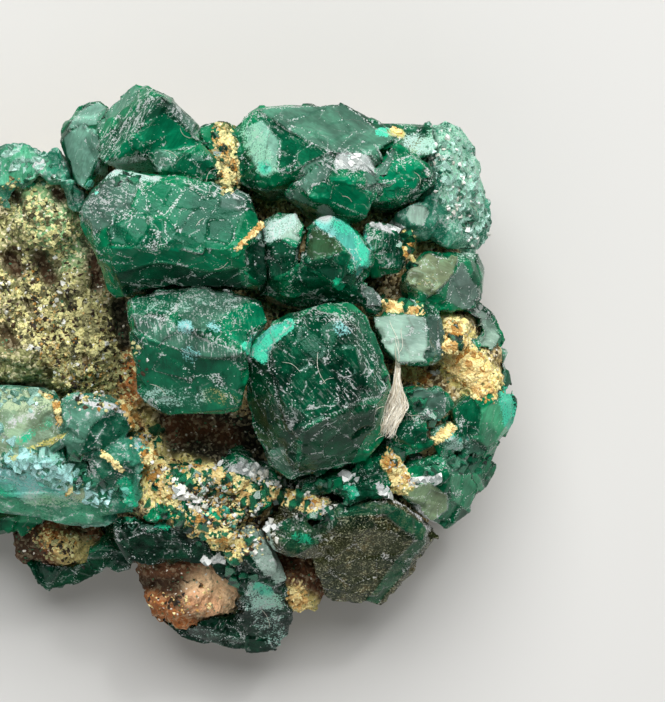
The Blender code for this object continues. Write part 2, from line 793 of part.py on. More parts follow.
def add_cutter(crystal, cutters):
    """A copy of the crystal, fatter by the gap all round, that cuts what lies against it."""
    bm = bmesh.new()
    bm.from_mesh(crystal.data)
    bm.normal_update()
    moves = [
        vert.normal * min(vert.calc_shell_factor(), CORNER_REACH) * GAP for vert in bm.verts
    ]
    for vert, move in zip(bm.verts, moves):
        vert.co += move
    cutter = add_object("cutter_" + crystal.name, bm, cutters)
    cutter.hide_render = True
    cutter.display_type = "WIRE"


def add_group(name, shapes, specimen, cutters):
    """Intergrown crystals as one solid, cut clear of the groups made before it."""
    members = new_collection(name + "_members")
    members.hide_render = True
    crystals = []
    for number, shape in enumerate(shapes):
        crystals.append(add_object(f"{name}_{number}", shape, members))
    group = bpy.data.objects.new(name, crystals[0].data.copy())
    specimen.objects.link(group)
    members.objects.unlink(crystals[0])
    if len(crystals) > 1:
        boolean(group, "UNION", members)
    if cutters.objects:
        boolean(group, "DIFFERENCE", cutters)
    group = settle(group, specimen)
    for crystal in crystals:
        add_cutter(crystal, cutters)
        bpy.data.objects.remove(crystal, do_unlink=True)
    bpy.data.collections.remove(members)
    return group


def add_rock(specimen):
    """The matrix: lumps run together, roughened, with fewer faces and a flat back."""
    bm = bmesh.new()
    for middle, radii in ROCK_LUMPS.values():
        matrix = Matrix.Translation(place(*middle)) @ Matrix.Diagonal(
            (*(radius * MM for radius in radii), 1.0)
        )
        bmesh.ops.create_icosphere(bm, subdivisions=3, radius=1.0, matrix=matrix)
    rock = add_object("matrix", bm, specimen)
    remesh = rock.modifiers.new("run together", "REMESH")
    remesh.mode = "VOXEL"
    remesh.voxel_size = ROCK_VOXEL
    bm = evaluated_bmesh(rock)
    keep_largest(bm)
    bm.normal_update()
    for vert in bm.verts:
        lumps = noise.fractal(vert.co / ROCK_LUMP_SIZE, FADE, STEP, OCTAVES)
        vert.co += vert.normal * lumps * ROCK_ROUGHNESS
    bpy.data.objects.remove(rock, do_unlink=True)
    rock = add_object("matrix", bm, specimen)
    thin = rock.modifiers.new("fewer faces", "DECIMATE")
    thin.ratio = ROCK_FACES / (2 * len(rock.data.polygons))
    bm = evaluated_bmesh(rock)
    bmesh.ops.bisect_plane(
        bm, geom=bm.verts[:] + bm.edges[:] + bm.faces[:], plane_co=(0, 0, 0),
        plane_no=(0, 0, 1), clear_inner=True,
    )
    rim = [edge for edge in bm.edges if edge.is_boundary]
    bmesh.ops.holes_fill(bm, edges=rim, sides=0)
    bmesh.ops.triangulate(bm, faces=bm.faces)
    bpy.data.objects.remove(rock, do_unlink=True)
    return add_object("matrix", bm, specimen)


def recentre(specimen, cutters):
    """Moves everything so that the origin is under the middle of the specimen's box."""
    corners = [vert.co for obj in specimen.objects for vert in obj.data.vertices]
    middle = Vector()
    for axis in (0, 1):
        along = [corner[axis] for corner in corners]
        middle[axis] = (min(along) + max(along)) / 2
    middle.z = min(corner.z for corner in corners)
    for obj in [*specimen.objects, *cutters.objects]:
        obj.data.transform(Matrix.Translation(-middle))
    return middle


def lint_wedge():
    """A tuft of pale lint caught between two crystals, as a thin wedge."""
    points = [place(*corner) for corner in LINT]
    lower = [point - Vector((0.0, 0.0, LINT_THICKNESS)) for point in points]
    return hull_of(points + lower)


def main():
    clear_scene()
    specimen = new_collection("dioptase_specimen")
    cutters = new_collection("cutters")
    dioptase = new_material("dioptase", GREEN, 0.12, 0.5)
    frosted = new_material("frosted_dioptase", PALE_GREEN, 0.45, 0.2)
    ochre = new_material("ochre_matrix", OCHRE, 0.9)
    cream = new_material("lint", CREAM, 0.95)

    rock = add_rock(specimen)
    rock.data.materials.append(ochre)
    add_cutter(rock, cutters)
    dice = random.Random(2)
    names = list(BLOCKS) + [name for name in PRISMS if name not in BLOCKS]
    for name in names:
        shapes = [block_crystal(block) for block in BLOCKS.get(name, [])]
        prisms = list(PRISMS.get(name, []))
        if name in FLANKS:
            prisms += flank_prisms(FLANKS[name])
        for prism in prisms:
            shapes.append(prism_crystal(*prism, dice.uniform(0, 60)))
        group = add_group(name, shapes, specimen, cutters)
        group.data.materials.append(frosted if name in FROSTED else dioptase)
    tuft = add_group("lint_tuft", [lint_wedge()], specimen, cutters)
    tuft.data.materials.append(cream)
    moved = recentre(specimen, cutters)
    picture = (CENTRE_X_MM - moved.x / MM, CENTRE_Y_MM - moved.y / MM)
    print(f"The picture's centre is above {picture[0]:.3f}, {picture[1]:.3f} mm")
    return picture


picture_centre = main()
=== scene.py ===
import math
import random

import bmesh
import bpy
import numpy as np
from mathutils import Matrix, Vector
from mathutils.bvhtree import BVHTree
from mathutils.kdtree import KDTree


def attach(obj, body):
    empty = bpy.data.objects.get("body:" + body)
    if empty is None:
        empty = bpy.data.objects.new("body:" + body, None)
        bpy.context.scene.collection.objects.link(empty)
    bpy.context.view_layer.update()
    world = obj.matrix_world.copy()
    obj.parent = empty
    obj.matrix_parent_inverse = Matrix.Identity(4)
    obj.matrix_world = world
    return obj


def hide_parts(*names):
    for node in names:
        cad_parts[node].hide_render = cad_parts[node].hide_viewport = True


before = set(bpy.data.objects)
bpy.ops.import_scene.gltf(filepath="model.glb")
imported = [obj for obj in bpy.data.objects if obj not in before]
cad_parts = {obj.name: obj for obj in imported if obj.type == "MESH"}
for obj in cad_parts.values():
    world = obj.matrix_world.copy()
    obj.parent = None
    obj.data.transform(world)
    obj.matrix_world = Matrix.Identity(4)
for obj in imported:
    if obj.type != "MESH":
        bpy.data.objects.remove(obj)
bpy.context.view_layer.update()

mm = 0.001
dioptaseIor = 1.66

# Places on the specimen are named by where they show in the picture from above, in its own
# steps across and down, and are then dropped onto whatever lies there.
picture = {
    "acrossMiddle": 332.5,
    "downMiddle": 351.0,
    "stepMm": 0.07,
    "xMm": 11.631,
    "yMm": 1.654,
    "sharpMm": 15.0,
    "eyeMm": 273.0,
}


def tone(red, green, blue):
    # a paint colour given in 0 to 255 as it looks, turned into what the shader wants
    mixed = []
    for part in (red, green, blue):
        part = part / 255
        mixed.append(part / 12.92 if part <= 0.04045 else ((part + 0.055) / 1.055) ** 2.4)
    return mixed


def glassTone(red, green, blue):
    # part of the light goes through the glass, so its paint is made stronger
    gain, most = 1.8, 0.96
    return [min(part * gain, most) for part in tone(red, green, blue)]


def deselectAll():
    for obj in list(bpy.context.selected_objects):
        obj.select_set(False)


def makeActive(obj):
    deselectAll()
    obj.select_set(True)
    bpy.context.view_layer.objects.active = obj


def applyModifiers(obj):
    makeActive(obj)
    for modifier in list(obj.modifiers):
        bpy.ops.object.modifier_apply(modifier=modifier.name)


def addModifier(obj, kind, **settings):
    modifier = obj.modifiers.new(kind.lower(), kind)
    for name, value in settings.items():
        setattr(modifier, name, value)


def linkPiece(name, mesh):
    piece = bpy.data.objects.new(name, mesh)
    bpy.context.scene.collection.objects.link(piece)
    return piece


def handOver(piece, replaced=None):
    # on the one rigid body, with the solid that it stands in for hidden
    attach(piece, "root")
    if replaced:
        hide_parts(replaced)
    print(f"{piece.name}: {len(piece.data.polygons)} faces")
    return piece


def pictureSpots(points):
    # where each point of the specimen shows in the picture
    nearer = (picture["eyeMm"] + picture["sharpMm"] - points[:, 2] / mm) / picture["eyeMm"]
    step = picture["stepMm"] * nearer
    across = picture["acrossMiddle"] + (points[:, 0] / mm - picture["xMm"]) / step
    down = picture["downMiddle"] - (points[:, 1] / mm - picture["yMm"]) / step
    return across, down


eyePoint = Vector((picture["xMm"], picture["yMm"], picture["sharpMm"] + picture["eyeMm"])) * mm


def sightLine(across, down):
    # from the eye through one place of the picture
    reach = picture["stepMm"] * mm
    aim = Vector((
        picture["xMm"] * mm + (across - picture["acrossMiddle"]) * reach,
        picture["yMm"] * mm - (down - picture["downMiddle"]) * reach,
        picture["sharpMm"] * mm,
    ))
    return (aim - eyePoint).normalized()


def atHeight(across, down, height):
    # the point that shows at one place of the picture and lies at a height
    line = sightLine(across, down)
    return eyePoint + line * ((height - eyePoint.z) / line.z)


# Camera, floor and lights

stageSettings = {
    "lens": 200.0,
    "sensor": 36.0,
    "floorWidth": 3.0,
    "floorTone": (206, 205, 202),
    "worldTone": (0.125, 0.128, 0.128),
    "lights": {
        "key": {"place": (0.03, 0.38, 0.49), "width": 0.62, "power": 5.9},
        "fill": {"place": (-0.25, -0.55, 0.55), "width": 1.10, "power": 2.0},
        "glint": {"place": (0.16, 0.26, 0.40), "width": 0.05, "power": 0.30},
    },
}


def addCamera():
    bpy.ops.object.camera_add(location=eyePoint, rotation=(0.0, 0.0, 0.0))
    camera = bpy.context.object
    camera.name = "pictureCamera"
    camera.data.lens = stageSettings["lens"]
    camera.data.sensor_width = stageSettings["sensor"]
    camera.data.clip_start = 0.01
    camera.data.clip_end = 10.0
    bpy.context.scene.camera = camera


def addSoftLight(name, place, width, power):
    bpy.ops.object.light_add(type="AREA", location=place)
    light = bpy.context.object
    light.name = name
    light.data.shape = "DISK"
    light.data.size = width
    light.data.energy = power
    aim = Vector((0.0, 0.0, 0.012)) - Vector(place)
    light.rotation_euler = aim.to_track_quat("-Z", "Y").to_euler()


def addStage():
    deselectAll()
    addCamera()
    for name, light in stageSettings["lights"].items():
        addSoftLight(name + "Light", light["place"], light["width"], light["power"])
    world = bpy.data.worlds.new("softRoom")
    world.use_nodes = True
    background = world.node_tree.nodes["Background"]
    background.inputs["Color"].default_value = (*stageSettings["worldTone"], 1.0)
    bpy.context.scene.world = world
    bpy.context.scene.view_settings.view_transform = "Standard"
    bpy.ops.mesh.primitive_plane_add(size=stageSettings["floorWidth"], location=(0, 0, 0))
    floor = bpy.context.object
    floor.name = "floor"
    paper = bpy.data.materials.new("paleFloor")
    paper.use_nodes = True
    shader = paper.node_tree.nodes["Principled BSDF"]
    shader.inputs["Base Color"].default_value = (*tone(*stageSettings["floorTone"]), 1.0)
    shader.inputs["Roughness"].default_value = 0.9
    floor.data.materials.append(paper)
    print("camera, floor and lights are set")


addStage()


# Node helpers for the finishes

class Finish:
    # a material's node tree, with short calls for the nodes that the finishes share

    def __init__(self, name):
        self.material = bpy.data.materials.new(name)
        self.material.use_nodes = True
        self.tree = self.material.node_tree
        self.shader = self.tree.nodes["Principled BSDF"]
        self.output = self.tree.nodes["Material Output"]
        self.place = self.node("ShaderNodeTexCoord").outputs["Object"]

    def node(self, kind):
        return self.tree.nodes.new(kind)

    def feed(self, socket, value):
        if isinstance(value, bpy.types.NodeSocket):
            self.tree.links.new(value, socket)
        elif socket.type == "RGBA":
            socket.default_value = (*value, 1.0)
        else:
            socket.default_value = value

    def put(self, name, value):
        self.feed(self.shader.inputs[name], value)

    def attribute(self, name, output="Fac"):
        made = self.node("ShaderNodeAttribute")
        made.attribute_name = name
        return made.outputs[output]

    def noise(self, sizeMm, detail=3.0, roughness=0.55, warp=0.0, place=None):
        made = self.node("ShaderNodeTexNoise")
        self.feed(made.inputs["Vector"], place or self.place)
        made.inputs["Scale"].default_value = 1.0 / (sizeMm * mm)
        made.inputs["Detail"].default_value = detail
        made.inputs["Roughness"].default_value = roughness
        made.inputs["Distortion"].default_value = warp
        return made.outputs["Fac"]

    def cells(self, sizeMm, feature="F1", place=None):
        made = self.node("ShaderNodeTexVoronoi")
        made.feature = feature
        self.feed(made.inputs["Vector"], place or self.place)
        made.inputs["Scale"].default_value = 1.0 / (sizeMm * mm)
        return made

    def chances(self, cells):
        # three numbers from 0 to 1 that differ from cell to cell
        made = self.node("ShaderNodeSeparateColor")
        self.feed(made.inputs[0], cells.outputs["Color"])
        return made.outputs

    def shifted(self, sizeMm, amountMm):
        # the coordinates, pushed about by a noise
        noise = self.node("ShaderNodeTexNoise")
        self.feed(noise.inputs["Vector"], self.place)
        noise.inputs["Scale"].default_value = 1.0 / (sizeMm * mm)
        noise.inputs["Detail"].default_value = 2.0
        scale = self.node("ShaderNodeVectorMath")
        scale.operation = "SCALE"
        self.feed(scale.inputs[0], noise.outputs["Color"])
        scale.inputs["Scale"].default_value = amountMm * mm
        add = self.node("ShaderNodeVectorMath")
        add.operation = "ADD"
        self.feed(add.inputs[0], self.place)
        self.feed(add.inputs[1], scale.outputs["Vector"])
        return add.outputs["Vector"]

    def math(self, operation, first, second=0.0):
        made = self.node("ShaderNodeMath")
        made.operation = operation
        self.feed(made.inputs[0], first)
        self.feed(made.inputs[1], second)
        return made.outputs[0]

    def times(self, first, second):
        return self.math("MULTIPLY", first, second)

    def plus(self, first, second):
        return self.math("ADD", first, second)

    def larger(self, first, second):
        return self.math("MAXIMUM", first, second)

    def ramp(self, value, start, end, low=0.0, high=1.0, smooth=True):
        made = self.node("ShaderNodeMapRange")
        made.interpolation_type = "SMOOTHSTEP" if smooth else "LINEAR"
        self.feed(made.inputs["Value"], value)
        made.inputs["From Min"].default_value = start
        made.inputs["From Max"].default_value = end
        made.inputs["To Min"].default_value = low
        made.inputs["To Max"].default_value = high
        return made.outputs["Result"]

    def mix(self, amount, first, second, blend="MIX"):
        made = self.node("ShaderNodeMix")
        made.data_type = "RGBA"
        made.blend_type = blend
        self.feed(made.inputs[0], amount)
        self.feed(made.inputs[6], first)
        self.feed(made.inputs[7], second)
        return made.outputs[2]

    def bump(self, height, strength, depthMm, normal=None):
        made = self.node("ShaderNodeBump")
        made.inputs["Strength"].default_value = strength
        made.inputs["Distance"].default_value = depthMm * mm
        self.feed(made.inputs["Height"], height)
        if normal:
            self.feed(made.inputs["Normal"], normal)
        return made.outputs["Normal"]


# Dioptase: deep emerald glass, scratched, chipped white at its edges, with frosted patches

crystalLooks = {
    "clear": {
        "dark": (0, 50, 30),
        "mid": (4, 116, 74),
        "bright": (70, 168, 130),
        "chipTone": (206, 230, 220),
        "sheenTint": (0.30, 0.62, 0.50),
        "absorb": (0.03, 0.66, 0.42),
        "absorbDensity": 240.0,
        "roughness": 0.12,
        "mottle": 0.22,
        "glitter": 0.10,
        "glitterTone": (60, 160, 124),
        "specks": 0.85,
        "lines": 0.65,
    },
    "golden": {
        "dark": (6, 30, 16),
        "mid": (44, 48, 22),
        "bright": (112, 94, 52),
        "chipTone": (208, 216, 192),
        "sheenTint": (0.45, 0.50, 0.30),
        "absorb": (0.36, 0.54, 0.20),
        "absorbDensity": 160.0,
        "roughness": 0.20,
        "mottle": 0.75,
        "glitter": 0.85,
        "glitterTone": (250, 220, 156),
        "specks": 0.5,
        "lines": 0.25,
    },
    "frosted": {
        "dark": (12, 84, 62),
        "mid": (56, 136, 108),
        "bright": (150, 198, 176),
        "chipTone": (222, 236, 228),
        "sheenTint": (0.45, 0.70, 0.60),
        "absorb": (0.10, 0.70, 0.48),
        "absorbDensity": 180.0,
        "roughness": 0.34,
        "mottle": 0.85,
        "glitter": 0.35,
        "glitterTone": (170, 210, 190),
        "specks": 0.9,
        "lines": 0.6,
    },
}


crystalGrain = {
    "transmission": 0.42,
    "specular": 0.05,
    "cloudMm": 3.4,
    "veilMm": 0.85,
    "grainMm": 0.13,
    "streakMm": 0.15,
    "webMm": 3.3,
    "scratchMm": 0.62,
    "dotMm": 0.14,
    "dotSize": (0.08, 0.42),
    "pitMm": 0.03,
    "roughest": 0.85,
}


def crystalFinish(name, look):
    finish = Finish(name)
    times, plus, larger, ramp = finish.times, finish.plus, finish.larger, finish.ramp
    dark, mid, bright, chipTone, glitterTone = (
        glassTone(*look[part]) for part in ("dark", "mid", "bright", "chipTone", "glitterTone")
    )
    finish.put("Transmission Weight", crystalGrain["transmission"])
    finish.put("IOR", dioptaseIor)
    finish.put("Specular IOR Level", crystalGrain["specular"])
    finish.put("Specular Tint", look["sheenTint"])
    absorb = finish.node("ShaderNodeVolumeAbsorption")
    finish.feed(absorb.inputs["Color"], look["absorb"])
    finish.feed(absorb.inputs["Density"], look["absorbDensity"])
    finish.feed(finish.output.inputs["Volume"], absorb.outputs["Volume"])

    cloud = finish.noise(crystalGrain["cloudMm"], 2.0, 0.6, 0.8)
    veil = finish.noise(crystalGrain["veilMm"], 3.0, 0.65, 0.4)
    grain = finish.noise(crystalGrain["grainMm"], 1.0, 0.7)
    rubbed = finish.attribute("rubbed")
    rim = finish.attribute("rim")

    # the glass itself, deeper and lighter by turns, each growth terrace a little different
    depth = plus(cloud, ramp(finish.attribute("terrace"), 0.0, 1.0, -0.10, 0.10, False))
    body = finish.mix(ramp(depth, 0.34, 0.66), dark, mid)
    body = finish.mix(times(ramp(veil, 0.50, 0.76), look["mottle"]), body, bright)

    # a fine glitter of inclusions: light specks, partly their own colour and partly painted glints
    glitter = times(ramp(grain, 0.54, 0.66), ramp(veil, 0.36, 0.60, 0.25, 1.0))
    body = finish.mix(times(glitter, look["glitter"]), body, glitterTone)

    # the drawn flat faces, laid on evenly: their own tones, with painted sheen on faces that catch the light and
    # painted shade on faces turned from it
    faceSoft = times(finish.attribute("faceTone", "Alpha"), ramp(veil, 0.25, 0.75, 1.0, 0.70))
    inside = times(ramp(cloud, 0.34, 0.66, 0.55, 1.1), ramp(veil, 0.32, 0.68, 0.82, 1.12))
    faceDeep = finish.mix(1.0, finish.attribute("faceTone", "Color"), inside, "MULTIPLY")
    body = finish.mix(faceSoft, body, faceDeep)

    # fine polish streaks along one way
    polish = finish.attribute("polish", "Vector")
    streak = finish.noise(crystalGrain["streakMm"], 1.0, 0.6, 0.6, polish)
    body = finish.mix(1.0, body, ramp(streak, 0.30, 0.70, 0.84, 1.12), "MULTIPLY")

    # patches with broken borders
    broken = plus(finish.attribute("blotchTone", "Alpha"), ramp(veil, 0.25, 0.75, -0.28, 0.18, False))
    broken = plus(broken, ramp(grain, 0.25, 0.75, -0.24, 0.20, False))
    blotchMask = ramp(broken, 0.34, 0.66)
    blotchTone = finish.attribute("blotchTone", "Color")
    shaded = finish.mix(ramp(grain, 0.28, 0.50, 0.5, 0.0), blotchTone, dark)
    body = finish.mix(blotchMask, body, shaded)

    # broken lines along the edges of growth terraces, and short straight scratches
    web = finish.cells(crystalGrain["webMm"], "DISTANCE_TO_EDGE", finish.shifted(1.1, 1.5))
    frayed = plus(web.outputs["Distance"], ramp(grain, 0.3, 0.7, -0.012, 0.016, False))
    ridge = times(ramp(frayed, 0.004, 0.022, 1.0, 0.0), ramp(veil, 0.46, 0.58))
    scratch = finish.cells(crystalGrain["scratchMm"], "F1", polish).outputs["Distance"]
    scratch = times(ramp(scratch, 0.04, 0.08, 1.0, 0.0), ramp(cloud, 0.50, 0.64))
    lines = times(larger(ridge, scratch), look["lines"])
    lines = times(lines, ramp(rubbed, 0.0, 0.5, 0.35, 1.0))

    # dust and pits: small white dots, thicker where the surface is rubbed and by the edges
    dots = finish.cells(crystalGrain["dotMm"])
    chance = finish.chances(dots)
    odds = plus(chance[0], times(larger(rubbed, times(rim, 0.75)), 0.24))
    odds = plus(odds, ramp(veil, 0.35, 0.65, -0.14, 0.10, False))
    dotSize = ramp(chance[1], 0.0, 1.0, *crystalGrain["dotSize"], False)
    dot = finish.math("LESS_THAN", dots.outputs["Distance"], dotSize)
    specks = times(times(dot, ramp(odds, 0.94, 1.02)), look["specks"])

    # edges and chips bruised white, and white powder where the surface is rubbed
    bruise = plus(rim, ramp(grain, 0.32, 0.68, -0.70, 0.24, False))
    bruise = plus(bruise, ramp(veil, 0.3, 0.7, -0.45, 0.30, False))
    bruise = ramp(bruise, 0.42, 0.95, 0.0, 0.85)
    dusty = plus(streak, ramp(grain, 0.3, 0.7, -0.10, 0.10, False))
    powder = times(ramp(dusty, 0.52, 0.72), ramp(rubbed, 0.3, 1.0, 0.0, 0.70))
    whitened = larger(larger(bruise, powder), larger(lines, specks))
    finish.put("Base Color", finish.mix(whitened, body, chipTone))

    rough = ramp(veil, 0.3, 0.7, look["roughness"] * 0.7, look["roughness"] * 1.7)
    rough = plus(plus(rough, times(whitened, 0.4)), times(blotchMask, 0.25))
    finish.put("Roughness", finish.math("MINIMUM", rough, crystalGrain["roughest"]))
    finish.put("Normal", finish.bump(grain, 0.35, crystalGrain["pitMm"]))
    return finish.material


finishes = {name: crystalFinish(name + "Dioptase", look) for name, look in crystalLooks.items()}


# Paints of the flat faces, and of the patches with broken borders
facePaints = {
    # painted sheen: the next four paints are the grey-green and pale grey light that flat faces catch, laid into their
    # colour
    "sheen": (80, 126, 106),
    "dimSheen": (84, 134, 112),
    "greyFace": (84, 114, 102),
    "grey": (164, 188, 174),
    "pale": (140, 204, 172),
    "jade": (86, 178, 132),
    "emerald": (2, 126, 86),
    "leaf": (16, 92, 64),
    "deep": (4, 74, 50),
    # painted shade: the next two paints darken faces turned from the light and under overhangs, over the crystal's own
    # deep green
    "shade": (0, 40, 26),
    "moss": (0, 46, 22),
    "olive": (66, 86, 56),
    "oliveGrey": (150, 162, 126),
    "slate": (104, 124, 116),
    "whiteFace": (190, 210, 202),
    "lichen": (184, 214, 156),
    "vivid": (92, 230, 176),
}
patchPaints = {
    "gold": (150, 138, 84),
    "brown": (104, 78, 44),
    "turquoise": (66, 206, 158),
    "teal": (24, 168, 124),
    "ice": (130, 216, 190),
    "white": (222, 234, 226),
    "milk": (160, 198, 182),
    "smoothGreySheen": (146, 168, 156),
    "sand": (212, 184, 106),
    "mottled": (140, 192, 166),
    "streak": (176, 206, 156),
}

# Each patch runs from one place of the picture to another: paint, start, end, half width, amount
crystalPatches = [
    ("white", (38, 162), (39, 163), 6, 1.0),
    ("milk", (106, 170), (152, 174), 8, 0.7),
    ("mottled", (250, 132), (266, 168), 11, 0.65),
    ("turquoise", (263, 167), (264, 168), 5, 1.0),
    ("milk", (412, 142), (430, 146), 9, 0.65),
    ("turquoise", (380, 131), (387, 131), 4, 1.0),
    ("sand", (394, 131), (400, 132), 4, 1.0),
    ("turquoise", (322, 222), (350, 228), 6, 0.7),
    ("turquoise", (362, 240), (367, 262), 6, 0.8),
    ("teal", (355, 264), (358, 274), 5, 0.5),
    ("ice", (322, 222), (332, 232), 5, 0.6),
    ("white", (322, 213), (325, 215), 6, 0.9),
    ("milk", (268, 234), (292, 215), 9, 0.75),
    ("teal", (338, 284), (340, 286), 5, 0.9),
    ("mottled", (452, 132), (470, 180), 22, 0.62),
    ("mottled", (462, 190), (470, 236), 22, 0.55),
    ("sand", (408, 238), (409, 258), 4, 0.9),
    ("white", (379, 222), (396, 230), 5, 0.7),
    ("gold", (412, 292), (442, 272), 7, 0.4),
    ("sand", (388, 306), (418, 306), 4, 0.9),
    ("brown", (398, 377), (425, 377), 7, 0.8),
    ("white", (435, 371), (437, 372), 5, 0.8),
    ("milk", (134, 306), (232, 300), 9, 0.42),
    ("milk", (150, 396), (196, 400), 10, 0.5),
    ("ice", (183, 326), (187, 328), 7, 0.7),
    ("ice", (213, 324), (216, 326), 6, 0.65),
    ("ice", (189, 354), (192, 356), 8, 0.6),
    ("gold", (214, 396), (234, 404), 8, 0.45),
    ("turquoise", (247, 346), (262, 358), 5, 1.0),
    ("turquoise", (264, 344), (289, 324), 5, 1.0),
    ("ice", (341, 326), (344, 328), 8, 0.6),
    ("turquoise", (507, 392), (512, 424), 6, 0.85),
    ("milk", (440, 436), (460, 448), 10, 0.6),
    ("sand", (388, 464), (408, 486), 6, 0.8),
    ("white", (410, 481), (440, 479), 3, 0.9),
    ("white", (398, 498), (437, 530), 2.5, 0.7),
    ("teal", (345, 508), (352, 510), 6, 0.4),
    ("teal", (296, 538), (308, 541), 6, 0.6),
    ("white", (280, 484), (285, 486), 6, 0.7),
    ("white", (304, 506), (328, 512), 6, 0.6),
    ("white", (268, 525), (273, 527), 5, 0.6),
    ("white", (382, 490), (385, 493), 5, 0.7),
    ("teal", (348, 491), (353, 493), 6, 0.8),
    # painted sheen: the smooth grey bottom face where it catches the light
    ("smoothGreySheen", (246, 534), (268, 562), 9, 1.0),
    ("smoothGreySheen", (258, 540), (280, 574), 9, 1.0),
    ("mottled", (256, 596), (280, 602), 7, 0.5),
    ("milk", (255, 600), (280, 640), 14, 0.5),
    ("milk", (160, 618), (230, 645), 9, 0.4),
    ("turquoise", (258, 588), (268, 592), 4, 0.7),
    ("streak", (-10, 400), (50, 400), 12, 0.62),
    ("white", (0, 430), (30, 416), 5, 0.5),
    ("teal", (10, 448), (44, 424), 5, 0.5),
    ("sand", (26, 452), (60, 436), 3, 0.7),
    ("sand", (4, 460), (26, 458), 3, 0.8),
    ("turquoise", (8, 484), (13, 487), 8, 0.9),
    ("turquoise", (38, 478), (48, 468), 9, 0.9),
    ("teal", (0, 486), (60, 492), 12, 0.6),
    ("ice", (2, 472), (30, 488), 11, 0.75),
    ("ice", (36, 470), (60, 486), 10, 0.6),
    ("milk", (24, 462), (66, 474), 7, 0.6),
    ("streak", (30, 500), (110, 512), 6, 0.35),
    ("streak", (66, 482), (82, 494), 7, 0.7),
    ("white", (76, 394), (134, 413), 3, 0.8),
    ("ice", (144, 446), (146, 448), 5, 0.9),
    ("teal", (124, 489), (131, 511), 8, 0.8),
    ("teal", (163, 522), (167, 524), 7, 0.8),
    ("turquoise", (224, 506), (232, 514), 4, 0.6),
    ("teal", (206, 514), (210, 516), 8, 0.8),
]
